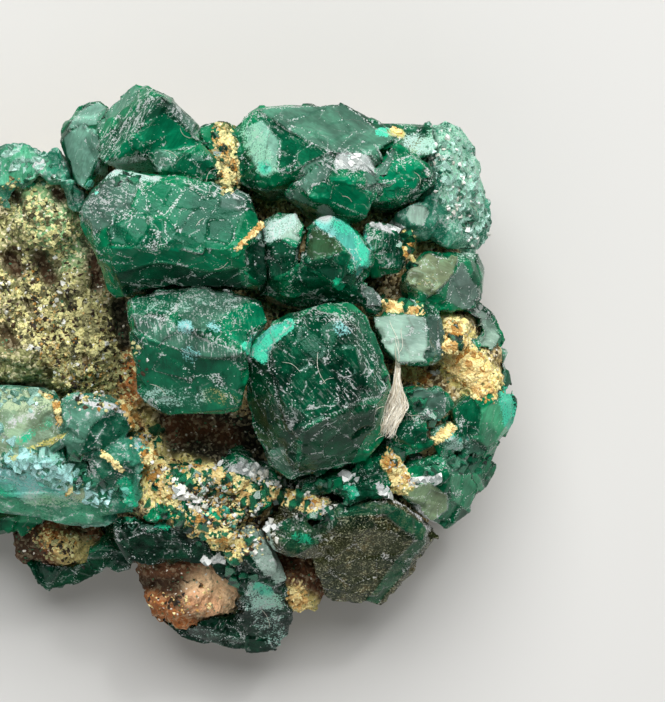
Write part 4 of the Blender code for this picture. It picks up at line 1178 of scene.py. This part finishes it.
def paintMatrix(mesh, before, patches):
    # painted shade: where the surface has sunk below its smooth form it is darker
    points, normals = readVertices(mesh), readVertices(mesh, "normal")
    across, down = pictureSpots(points)
    sunk = -np.einsum("ij,ij->i", points - before, normals) / mm
    writeValues(mesh, "creviceShade", np.clip((sunk - 0.02) / 0.35, 0.0, 1.0))
    tones = np.zeros((len(points), 4))
    plain = np.zeros(len(points))
    upward = np.clip(normals[:, 2] * 2 + 1.2, 0.0, 1.0)
    for paint, start, end, halfWidth, strength in patches:
        amount = nearStretch(across, down, start, end, halfWidth) * strength * upward
        layOver(tones, tone(*matrixPaints[paint]), amount)
        if paint in matrixLook["plainPaints"]:
            plain = np.maximum(plain, amount)
    writeValues(mesh, "patchTone", tones, "FLOAT_COLOR")
    writeValues(mesh, "plain", plain)


def dressMatrix():
    piece, build = mergedCopy("matrix", "matrix_surface")
    build.free()
    addModifier(piece, "REMESH", mode="VOXEL", voxel_size=matrixLook["voxelMm"] * mm)
    addModifier(piece, "SMOOTH", iterations=6, factor=0.6)
    applyModifiers(piece)
    mesh = piece.data
    points = readVertices(mesh, "co")
    lift = np.clip((points[:, 2] / mm - matrixLook["flatBelowMm"]) / matrixLook["flatFadeMm"], 0.0, 1.0)
    group = piece.vertex_groups.new(name="aboveBack")
    for index in np.nonzero(lift > 0.01)[0]:
        group.add([int(index)], float(lift[index]), "REPLACE")
    across, down = pictureSpots(points)
    sink = inStretches(across, down, [patch[1:] for patch in matrixPatches if patch[0] in ("hole", "creviceShade")])
    points[:, 2] -= sink * matrixLook["holeMm"] * mm * np.clip(points[:, 2] / mm - 6.0, 0.0, 1.0)
    writeVertices(mesh, points)
    addModifier(piece, "DISPLACE", strength=matrixLook["swellMm"] * mm, mid_level=0.0, vertex_group="aboveBack")
    displace(piece, softTexture("rockLumps", "CLOUDS", 1.3, 3), matrixLook["lumpMm"], 0.5, "aboveBack")
    displace(piece, softTexture("rockGrains", "VORONOI", 0.6), -matrixLook["grainMm"], 0.4, "aboveBack")
    displace(piece, softTexture("rockGrit", "CLOUDS", 0.32, 2), matrixLook["gritMm"], 0.5, "aboveBack")
    before = readVertices(mesh, "co")
    applyModifiers(piece)
    mesh = piece.data
    piece.vertex_groups.clear()
    paintMatrix(mesh, before, matrixPatches)
    mesh.materials.append(finishes["matrix"])
    mesh.shade_smooth()
    return handOver(piece, "matrix")


matrix = dressMatrix()

# Sand packed into the seams and hollows between the crystals

graph = bpy.context.evaluated_depsgraph_get()
dressedTrees = [BVHTree.FromObject(piece, graph) for piece in [*crystals, matrix]]


def dressedAt(across, down):
    # the first surface that the eye meets at one place of the picture
    line = sightLine(across, down)
    best = None
    for tree in dressedTrees:
        place, normal, _, gap = tree.ray_cast(eyePoint, line)
        if place is not None and (best is None or gap < best[2]):
            best = (place, normal, gap)
    return best


def spotsIn(zone, count, dice):
    # random places of the picture along a stretch, thinning out towards its border
    (startAcross, startDown), (endAcross, endDown), halfWidth = zone
    spots = []
    for _ in range(count):
        along = dice.random()
        turn = dice.uniform(0, 2 * math.pi)
        out = halfWidth * dice.random() ** 0.6
        spots.append((
            startAcross + along * (endAcross - startAcross) + out * math.cos(turn),
            startDown + along * (endDown - startDown) + out * math.sin(turn),
        ))
    return spots


sandFill = {
    "voxelMm": 0.14,
    "seed": 5,
    "radiusMm": (0.28, 0.66),
    "lookAround": 7,
    "share": 0.55,
    "zones": [
        # start, end, half width, lumps, lift in mm, paint
        ((150, 436), (158, 496), 9, 22, 0.05, "sand"),
        ((184, 458), (212, 476), 3.5, 9, 0.0, "sand"),
        ((208, 470), (250, 492), 7, 22, 0.05, "sand"),
        ((196, 520), (240, 548), 10, 30, 0.05, "sand"),
        ((166, 484), (180, 520), 6, 10, 0.0, "greenSand"),
        ((238, 500), (262, 498), 6, 12, 0.0, "greenSand"),
        ((454, 326), (456, 346), 9, 14, 0.1, "sand"),
        ((456, 354), (486, 386), 15, 44, 0.1, "sand"),
        ((396, 372), (424, 378), 7, 14, 0.0, "orange"),
        ((390, 458), (404, 486), 8, 18, 0.05, "sand"),
        ((386, 305), (420, 309), 5, 16, 0.05, "sand"),
        ((222, 132), (230, 186), 8, 24, 0.05, "greenSand"),
        ((236, 250), (262, 224), 1.5, 8, -0.1, "sand"),
        ((408, 234), (410, 256), 5, 10, 0.0, "sand"),
        ((66, 494), (82, 482), 1.3, 4, -0.1, "sand"),
        ((102, 452), (122, 470), 1.3, 5, -0.1, "sand"),
        ((56, 402), (60, 424), 2, 5, -0.1, "olive"),
        ((292, 596), (306, 608), 6, 10, 0.05, "sand"),
        ((268, 492), (320, 508), 6, 20, 0.0, "sand"),
        ((436, 440), (452, 428), 4, 8, 0.0, "olive"),
        ((124, 400), (140, 430), 5, 10, 0.0, "orange"),
        ((20, 388), (50, 398), 2, 6, -0.1, "olive"),
    ],
}


def addSandFill():
    dice = random.Random(sandFill["seed"])
    bpy.ops.mesh.primitive_ico_sphere_add(subdivisions=2, radius=1.0)
    lump = bpy.context.object
    build = bmesh.new()
    for start, end, halfWidth, count, lift, _ in sandFill["zones"]:
        for across, down in spotsIn((start, end, halfWidth), count * 2, dice):
            heights = []
            reach = sandFill["lookAround"]
            for turn in range(6):
                angle = turn * math.pi / 3
                hit = dressedAt(across + reach * math.cos(angle), down + reach * math.sin(angle))
                if hit:
                    heights.append(hit[0].z)
            if len(heights) < 5:
                continue
            heights.sort()
            radius = dice.uniform(*sandFill["radiusMm"]) * min(max(halfWidth / 8, 0.45), 1.0) * mm
            top = heights[int(len(heights) * sandFill["share"])] + lift * mm
            middle = atHeight(across, down, top - radius)
            grain = lump.data.copy()
            size = Matrix.Diagonal((radius * dice.uniform(0.9, 1.4), radius * dice.uniform(0.9, 1.4), radius, 1.0))
            grain.transform(Matrix.Translation(middle) @ Matrix.Rotation(dice.uniform(0, 6.28), 4, "Z") @ size)
            build.from_mesh(grain)
            bpy.data.meshes.remove(grain)
    bpy.data.objects.remove(lump)
    mesh = bpy.data.meshes.new("sand_fill")
    build.to_mesh(mesh)
    build.free()
    piece = linkPiece("sand_fill", mesh)
    addModifier(piece, "REMESH", mode="VOXEL", voxel_size=sandFill["voxelMm"] * mm)
    applyModifiers(piece)
    before = readVertices(piece.data)
    displace(piece, softTexture("sandLumps", "CLOUDS", 0.7, 3), 0.42)
    displace(piece, softTexture("sandGrains", "VORONOI", 0.26), -0.18, 0.4)
    applyModifiers(piece)
    paintMatrix(piece.data, before, [
        (zone[5], zone[0], zone[1], zone[2] * 1.4, 0.9) for zone in sandFill["zones"]
    ])
    piece.data.materials.append(finishes["matrix"])
    piece.data.shade_smooth()
    return handOver(piece)


sand = addSandFill()
graph = bpy.context.evaluated_depsgraph_get()
dressedTrees.append(BVHTree.FromObject(sand, graph))


# Loose grains, flakes and tiny crystals: each shape is made once and copied

def shapeBroken(seed, cuts, thickness):
    # a bit of broken mineral: a cube with planes cut off it, flattened to a plate if thin
    dice = random.Random(seed)
    bpy.ops.mesh.primitive_cube_add(size=1.0)
    bit = bpy.context.object
    bpy.ops.object.mode_set(mode="EDIT")
    for _ in range(cuts):
        turn = dice.uniform(0, 2 * math.pi)
        rise = dice.uniform(-1.0, 1.0) if thickness > 0.5 else dice.uniform(-0.3, 0.3)
        facing = Vector((math.cos(turn), math.sin(turn), rise)).normalized()
        bpy.ops.mesh.select_all(action="SELECT")
        bpy.ops.mesh.bisect(
            plane_co=facing * dice.uniform(0.26, 0.44), plane_no=facing, use_fill=True, clear_outer=True,
        )
    bpy.ops.mesh.select_all(action="SELECT")
    bpy.ops.mesh.normals_make_consistent(inside=False)
    bpy.ops.object.mode_set(mode="OBJECT")
    for vertex in bit.data.vertices:
        vertex.co.z *= thickness
    return bit


def shapeCrystal(seed):
    # a dioptase prism with its three-faced tip, standing on the ground with its foot sunk in
    dice = random.Random(seed)
    bpy.ops.mesh.primitive_cylinder_add(vertices=6, radius=0.42, depth=1.6, location=(0, 0, 0))
    crystal = bpy.context.object
    bpy.ops.object.mode_set(mode="EDIT")
    for face in range(3):
        turn = 2 * math.pi * face / 3 + dice.uniform(-0.1, 0.1)
        bpy.ops.mesh.select_all(action="SELECT")
        bpy.ops.mesh.bisect(
            plane_co=(0.0, 0.0, 0.62 + dice.uniform(-0.08, 0.08)),
            plane_no=(math.cos(turn) * 0.78, math.sin(turn) * 0.78, 0.63),
            use_fill=True, clear_outer=True,
        )
    bpy.ops.mesh.select_all(action="SELECT")
    bpy.ops.mesh.normals_make_consistent(inside=False)
    bpy.ops.object.mode_set(mode="OBJECT")
    return crystal


smallShapes = {
    "grain": [shapeBroken(seed, 4, 0.9) for seed in (1, 2, 3, 4, 5, 6)],
    "flake": [shapeBroken(seed, 4, 0.10) for seed in (11, 12, 13, 14)],
    "crystal": [shapeCrystal(1), *[shapeBroken(seed, 5, 0.95) for seed in (21, 22, 23, 24, 25)]],
}


def tintFinish(name, darkTone, lightTone, roughness, clear=0.0):
    # small pieces: each a little lighter or darker than the next
    finish = Finish(name)
    chance = finish.chances(finish.cells(0.5))
    fine = finish.noise(0.12, 2.0, 0.6)
    shade = finish.plus(finish.times(chance[0], 0.75), finish.times(fine, 0.4))
    maker = glassTone if clear else tone
    body = finish.mix(finish.ramp(shade, 0.15, 0.95), maker(*darkTone), maker(*lightTone))
    finish.feed(finish.shader.inputs["Base Color"], body)
    finish.feed(finish.shader.inputs["Roughness"], finish.ramp(fine, 0.3, 0.7, roughness * 0.7, roughness * 1.2))
    finish.feed(finish.shader.inputs["Normal"], finish.bump(fine, 0.4, 0.04))
    if clear:
        finish.shader.inputs["Transmission Weight"].default_value = clear
        finish.shader.inputs["IOR"].default_value = dioptaseIor
    return finish.material


finishes["sandGrains"] = tintFinish("sandGrains", (188, 134, 56), (255, 244, 180), 0.8)
finishes["oliveGrains"] = tintFinish("oliveGrains", (52, 50, 22), (226, 220, 156), 0.75)
finishes["whiteGrains"] = tintFinish("whiteGrains", (190, 190, 176), (255, 255, 250), 0.35)
finishes["greyFlakes"] = tintFinish("greyFlakes", (130, 140, 136), (250, 252, 248), 0.3)
finishes["tealFlakes"] = tintFinish("tealFlakes", (16, 120, 98), (110, 206, 182), 0.35)
finishes["darkGrains"] = tintFinish("darkGrains", (16, 12, 6), (70, 50, 26), 0.7)
finishes["slabCrystals"] = tintFinish("slabCrystals", (10, 84, 54), (150, 236, 190), 0.3, 0.2)
finishes["frostCrystals"] = tintFinish("frostCrystals", (14, 84, 60), (156, 210, 180), 0.3, 0.3)
finishes["tinyDioptase"] = tintFinish("tinyDioptase", (0, 36, 24), (30, 116, 82), 0.18, 0.5)


hollows = [(*patch[1:4], 1.0) for patch in matrixPatches if patch[0] in ("hole", "creviceShade")]


def scatter(name, shape, finish, settings):
    dice = random.Random(settings["seed"])
    build = bmesh.new()
    for start, end, halfWidth, count in settings["zones"]:
        spots = spotsIn((start, end, halfWidth), count, dice)
        for (across, down), sunk in zip(spots, inStretches(*np.array(spots).T, hollows)):
            hit = dressedAt(across, down)
            if hit is None:
                continue
            place, normal, _ = hit
            if normal.z < -0.1 or (shape == "grain" and sunk > 0.6):
                continue
            size = dice.uniform(*settings["sizeMm"]) * dice.uniform(0.7, 1.3) * mm
            lean = settings["lean"]
            up = normal + Vector((dice.uniform(-lean, lean), dice.uniform(-lean, lean), dice.uniform(0, lean)))
            turned = up.normalized().to_track_quat("Z", "Y").to_matrix().to_4x4()
            turned = turned @ Matrix.Rotation(dice.uniform(0, 2 * math.pi), 4, "Z")
            copied = dice.choice(smallShapes[shape]).data.copy()
            stretch = Matrix.Diagonal((size, size * dice.uniform(0.75, 1.25), size, 1.0))
            lifted = place + normal * size * settings["lift"]
            copied.transform(Matrix.Translation(lifted) @ turned @ stretch)
            build.from_mesh(copied)
            bpy.data.meshes.remove(copied)
    mesh = bpy.data.meshes.new(name)
    build.to_mesh(mesh)
    build.free()
    mesh.materials.append(finishes[finish])
    handOver(linkPiece(name, mesh))


seamZones = [(zone[0], zone[1], zone[2] * 1.2 + 1, zone[3] * 19) for zone in sandFill["zones"]]
recessZones = [((20, 270), (100, 370), 46, 1700), ((70, 300), (120, 380), 20, 600), ((10, 200), (60, 240), 26, 400)]

smallPieces = {
    "sand_grains": ("grain", "sandGrains", "ochre_matrix", {
        "seed": 11, "sizeMm": (0.09, 0.22), "lean": 0.6, "lift": 0.12,
        "zones": seamZones + [
            ((20, 290), (110, 380), 36, 420), ((150, 600), (210, 600), 14, 50), ((40, 536), (70, 546), 12, 160),
            ((296, 582), (300, 606), 10, 60), ((180, 432), (236, 446), 12, 30), ((240, 480), (330, 515), 10, 120),
            ((130, 400), (134, 420), 8, 40), ((150, 440), (250, 540), 22, 500), ((392, 129), (401, 133), 2, 30),
        ],
    }),
    "olive_grains": ("grain", "oliveGrains", "ochre_matrix", {
        "seed": 12, "sizeMm": (0.10, 0.30), "lean": 0.9, "lift": 0.1,
        "zones": recessZones + [((222, 132), (230, 186), 12, 240), ((30, 540), (104, 558), 14, 160), ((150, 440), (250, 540), 26, 200)],
    }),
    "dark_grains": ("grain", "darkGrains", "ochre_matrix", {
        "seed": 13, "sizeMm": (0.12, 0.34), "lean": 0.9, "lift": 0.0,
        "zones": [((20, 270), (110, 380), 46, 420), ((150, 436), (250, 540), 26, 120),
                  ((150, 592), (180, 598), 12, 24), ((24, 540), (104, 558), 14, 90), ((180, 432), (236, 446), 16, 30)],
    }),
    "white_grains": ("grain", "whiteGrains", "ochre_matrix", {
        "seed": 14, "sizeMm": (0.12, 0.3), "lean": 0.8, "lift": 0.2,
        "zones": [((20, 270), (110, 380), 46, 130), ((82, 302), (95, 303), 4, 8), ((28, 350), (44, 347), 4, 8),
                  ((175, 487), (200, 505), 9, 60), ((150, 440), (260, 540), 26, 160),
                  ((250, 470), (330, 510), 10, 90), ((390, 456), (410, 486), 10, 30),
                  ((430, 130), (480, 240), 22, 60)],
    }),
    "pale_flakes": ("flake", "greyFlakes", "dioptase", {
        "seed": 15, "sizeMm": (0.25, 0.75), "lean": 0.3, "lift": 0.04,
        "zones": [((206, 466), (262, 466), 7, 12), ((204, 560), (222, 560), 4, 7), ((276, 483), (290, 488), 5, 7),
                  ((300, 506), (330, 512), 6, 14), ((264, 524), (276, 527), 4, 5), ((380, 489), (388, 494), 4, 5),
                  ((434, 368), (438, 376), 3, 3), ((376, 220), (398, 230), 6, 9), ((176, 490), (200, 502), 8, 12),
                  ((410, 481), (440, 479), 2, 10), ((336, 160), (362, 158), 6, 10), ((240, 455), (262, 480), 6, 4),
                  ((345, 470), (360, 478), 5, 5)],
    }),
    "teal_flakes": ("flake", "tealFlakes", "dioptase", {
        "seed": 16, "sizeMm": (0.2, 0.5), "lean": 0.5, "lift": 0.02,
        "zones": [((222, 498), (240, 528), 7, 16), ((124, 489), (132, 512), 6, 8), ((140, 445), (148, 452), 4, 5),
                  ((160, 522), (170, 525), 5, 5), ((38, 478), (48, 470), 7, 9), ((6, 484), (14, 488), 6, 8),
                  ((255, 588), (270, 592), 5, 6), ((346, 490), (356, 494), 4, 4), ((206, 513), (212, 516), 5, 6),
                  ((260, 165), (268, 170), 4, 4), ((88, 184), (98, 192), 4, 4), ((430, 420), (470, 450), 8, 8)],
    }),
    "slab_crystals": ("crystal", "slabCrystals", "frosted_dioptase", {
        "seed": 18, "sizeMm": (0.35, 0.8), "lean": 0.9, "lift": -0.30,
        "zones": [((-20, 466), (40, 466), 15, 90), ((40, 466), (84, 486), 13, 46), ((90, 500), (126, 492), 9, 16),
                  ((-30, 430), (10, 438), 10, 16)],
    }),
    "frost_crystals": ("crystal", "frostCrystals", "frosted_dioptase", {
        "seed": 19, "sizeMm": (0.25, 0.62), "lean": 0.9, "lift": -0.30,
        "zones": [((446, 136), (474, 232), 24, 210), ((478, 180), (482, 236), 9, 40), ((0, 160), (44, 158), 12, 40),
                  ((-30, 396), (30, 400), 12, 40)],
    }),
    "tiny_crystals": ("crystal", "tinyDioptase", "dioptase", {
        "seed": 17, "sizeMm": (0.35, 0.85), "lean": 1.0, "lift": -0.22,
        "zones": [((150, 440), (160, 500), 14, 14), ((180, 470), (258, 505), 18, 40), ((165, 515), (246, 545), 16, 28),
                  ((205, 132), (240, 186), 14, 14), ((396, 232), (412, 262), 9, 9), ((386, 380), (450, 420), 12, 14),
                  ((392, 456), (440, 470), 10, 14), ((440, 452), (492, 470), 12, 16), ((380, 296), (424, 312), 6, 9),
                  ((448, 320), (462, 350), 7, 6), ((252, 486), (330, 516), 9, 20), ((60, 460), (124, 500), 14, 16),
                  ((222, 545), (256, 590), 10, 12), ((100, 180), (150, 176), 6, 10), ((440, 180), (486, 240), 14, 6),
                  ((20, 180), (70, 186), 8, 8), ((300, 480), (360, 500), 8, 14)],
    }),
}

for name, (shape, finish, slotName, settings) in smallPieces.items():
    scatter(name, shape, finish, settings)
for shapes in smallShapes.values():
    for shape in shapes:
        bpy.data.objects.remove(shape)
print("grains, flakes and tiny crystals are in place")


# The wisp of lint caught beside the centre crystal, combed from fine fibres

lintSettings = {
    "seed": 21,
    "fibres": 330,
    "thicknessMm": 0.045,
    "hairs": [
        # stray dust hairs on the crystals: start, end, how far they bulge
        (206, 182, 224, 170, 7), (180, 128, 192, 138, -3), (164, 150, 178, 158, 2), (282, 362, 300, 372, 3),
        (318, 352, 326, 384, -4), (322, 384, 334, 378, 2), (410, 152, 420, 158, 2), (196, 226, 204, 218, 1),
        (228, 262, 214, 270, 2), (150, 384, 166, 396, 3), (414, 172, 420, 184, 3), (342, 196, 352, 202, 2),
        (66, 500, 84, 494, 2), (140, 600, 152, 612, 3), (262, 610, 270, 628, 2), (470, 205, 478, 216, 2),
    ],
    "top": (395, 345),
    "waist": (396, 358),
    "leftSide": [(396, 362), (394, 383), (388, 404), (381, 430)],
    "rightSide": [(400, 364), (400, 382), (407, 407), (394, 434)],
    "light": (255, 252, 240),
    "dark": (186, 168, 134),
}


def addFibre(build, places, thickness, shade=0.7):
    # a thin three-sided thread through the places, closed at both ends
    layer = build.verts.layers.float["shade"]
    rings = []
    for index, place in enumerate(places):
        ahead = places[min(index + 1, len(places) - 1)] - places[max(index - 1, 0)]
        side = ahead.cross(Vector((0, 0, 1))).normalized()
        up = side.cross(ahead).normalized()
        taper = 0.5 if index in (0, len(places) - 1) else 1.0
        ring = []
        for corner in range(3):
            turn = 2 * math.pi * corner / 3
            out = side * math.cos(turn) + up * math.sin(turn)
            ring.append(build.verts.new(place + out * thickness * 0.5 * taper))
            ring[-1][layer] = shade
        rings.append(ring)
    for before, after in zip(rings, rings[1:]):
        for corner in range(3):
            other = (corner + 1) % 3
            build.faces.new((before[corner], before[other], after[other], after[corner]))
    build.faces.new(rings[0][::-1])
    build.faces.new(rings[-1])


def lintHeight(across, down, spread):
    hit = dressedAt(across, down)
    base = hit[0].z if hit else 0.017
    return max(base, 0.0170) + spread


def lintFinish():
    finish = Finish("creamLint")
    shade = finish.attribute("shade")
    body = finish.mix(shade, tone(*lintSettings["dark"]), tone(*lintSettings["light"]))
    finish.feed(finish.shader.inputs["Base Color"], body)
    finish.shader.inputs["Roughness"].default_value = 0.9
    finish.shader.inputs["Specular IOR Level"].default_value = 0.1
    return finish.material


def alongSide(side, along):
    # the place on one side of the tuft, with along from 0 at the top to 3 at the bottom
    index = min(int(along), 2)
    part = along - index
    return [side[index][axis] + (side[index + 1][axis] - side[index][axis]) * part for axis in (0, 1)]


def addLint():
    dice = random.Random(lintSettings["seed"])
    build = bmesh.new()
    build.verts.layers.float.new("shade")
    for _ in range(lintSettings["fibres"]):
        side = dice.random()
        sway, phase, pace = dice.uniform(0.05, 0.22), dice.uniform(0, 6.28), dice.uniform(2.0, 6.0)
        start = dice.uniform(0.0, 0.75)
        end = min(start + dice.uniform(0.2, 0.6), 1.0 + 0.08 * dice.random() ** 2)
        thread = [lintSettings["top"], lintSettings["waist"]] if start < 0.1 and dice.random() < 0.5 else []
        stops = 8
        for step in range(stops):
            share = start + (end - start) * step / (stops - 1)
            left = alongSide(lintSettings["leftSide"], share * 3)
            right = alongSide(lintSettings["rightSide"], share * 3)
            drift = side + sway * math.sin(phase + pace * share * 3)
            drift = min(max(drift, -0.12), 1.14)
            thread.append([left[axis] + (right[axis] - left[axis]) * drift for axis in (0, 1)])
        lift = dice.uniform(0.0, 0.6) * mm
        places = []
        for index, (across, down) in enumerate(thread):
            swell = math.sin(math.pi * (index + 0.6) / (len(thread) + 0.4))
            height = lintHeight(across, down, lift * swell)
            places.append(atHeight(across, down, height))
        addFibre(build, places, lintSettings["thicknessMm"] * mm * dice.uniform(0.6, 1.3), dice.random() ** 0.6)
    for startAcross, startDown, endAcross, endDown in ((398, 350, 392, 322), (398, 352, 404, 330),
                                                       (400, 412, 426, 418), (402, 408, 418, 424),
                                                       (386, 428, 378, 443), (392, 430, 399, 444),
                                                       (396, 366, 398, 338), (388, 400, 379, 412)):
        places = []
        for step in range(10):
            t = step / 9
            across = startAcross + t * (endAcross - startAcross) + 2.5 * math.sin(t * 5)
            down = startDown + t * (endDown - startDown) + 2.0 * math.sin(t * 4 + 1)
            hit = dressedAt(across, down)
            height = (hit[0].z if hit else 0.015) + 0.06 * mm
            places.append(atHeight(across, down, height))
        addFibre(build, places, 0.04 * mm)
    for startAcross, startDown, endAcross, endDown, bulge in lintSettings["hairs"]:
        places = []
        for step in range(9):
            t = step / 8
            side = math.sin(math.pi * t) * bulge
            length = math.hypot(endAcross - startAcross, endDown - startDown)
            across = startAcross + t * (endAcross - startAcross) + side * (endDown - startDown) / length
            down = startDown + t * (endDown - startDown) - side * (endAcross - startAcross) / length
            hit = dressedAt(across, down)
            if hit is None:
                break
            places.append(atHeight(across, down, hit[0].z + 0.07 * mm))
        if len(places) == 9:
            addFibre(build, places, 0.035 * mm)
    bmesh.ops.recalc_face_normals(build, faces=build.faces)
    mesh = bpy.data.meshes.new("lint_fibres")
    build.to_mesh(mesh)
    build.free()
    mesh.materials.append(lintFinish())
    handOver(linkPiece("lint_fibres", mesh), "lint_tuft")


addLint()
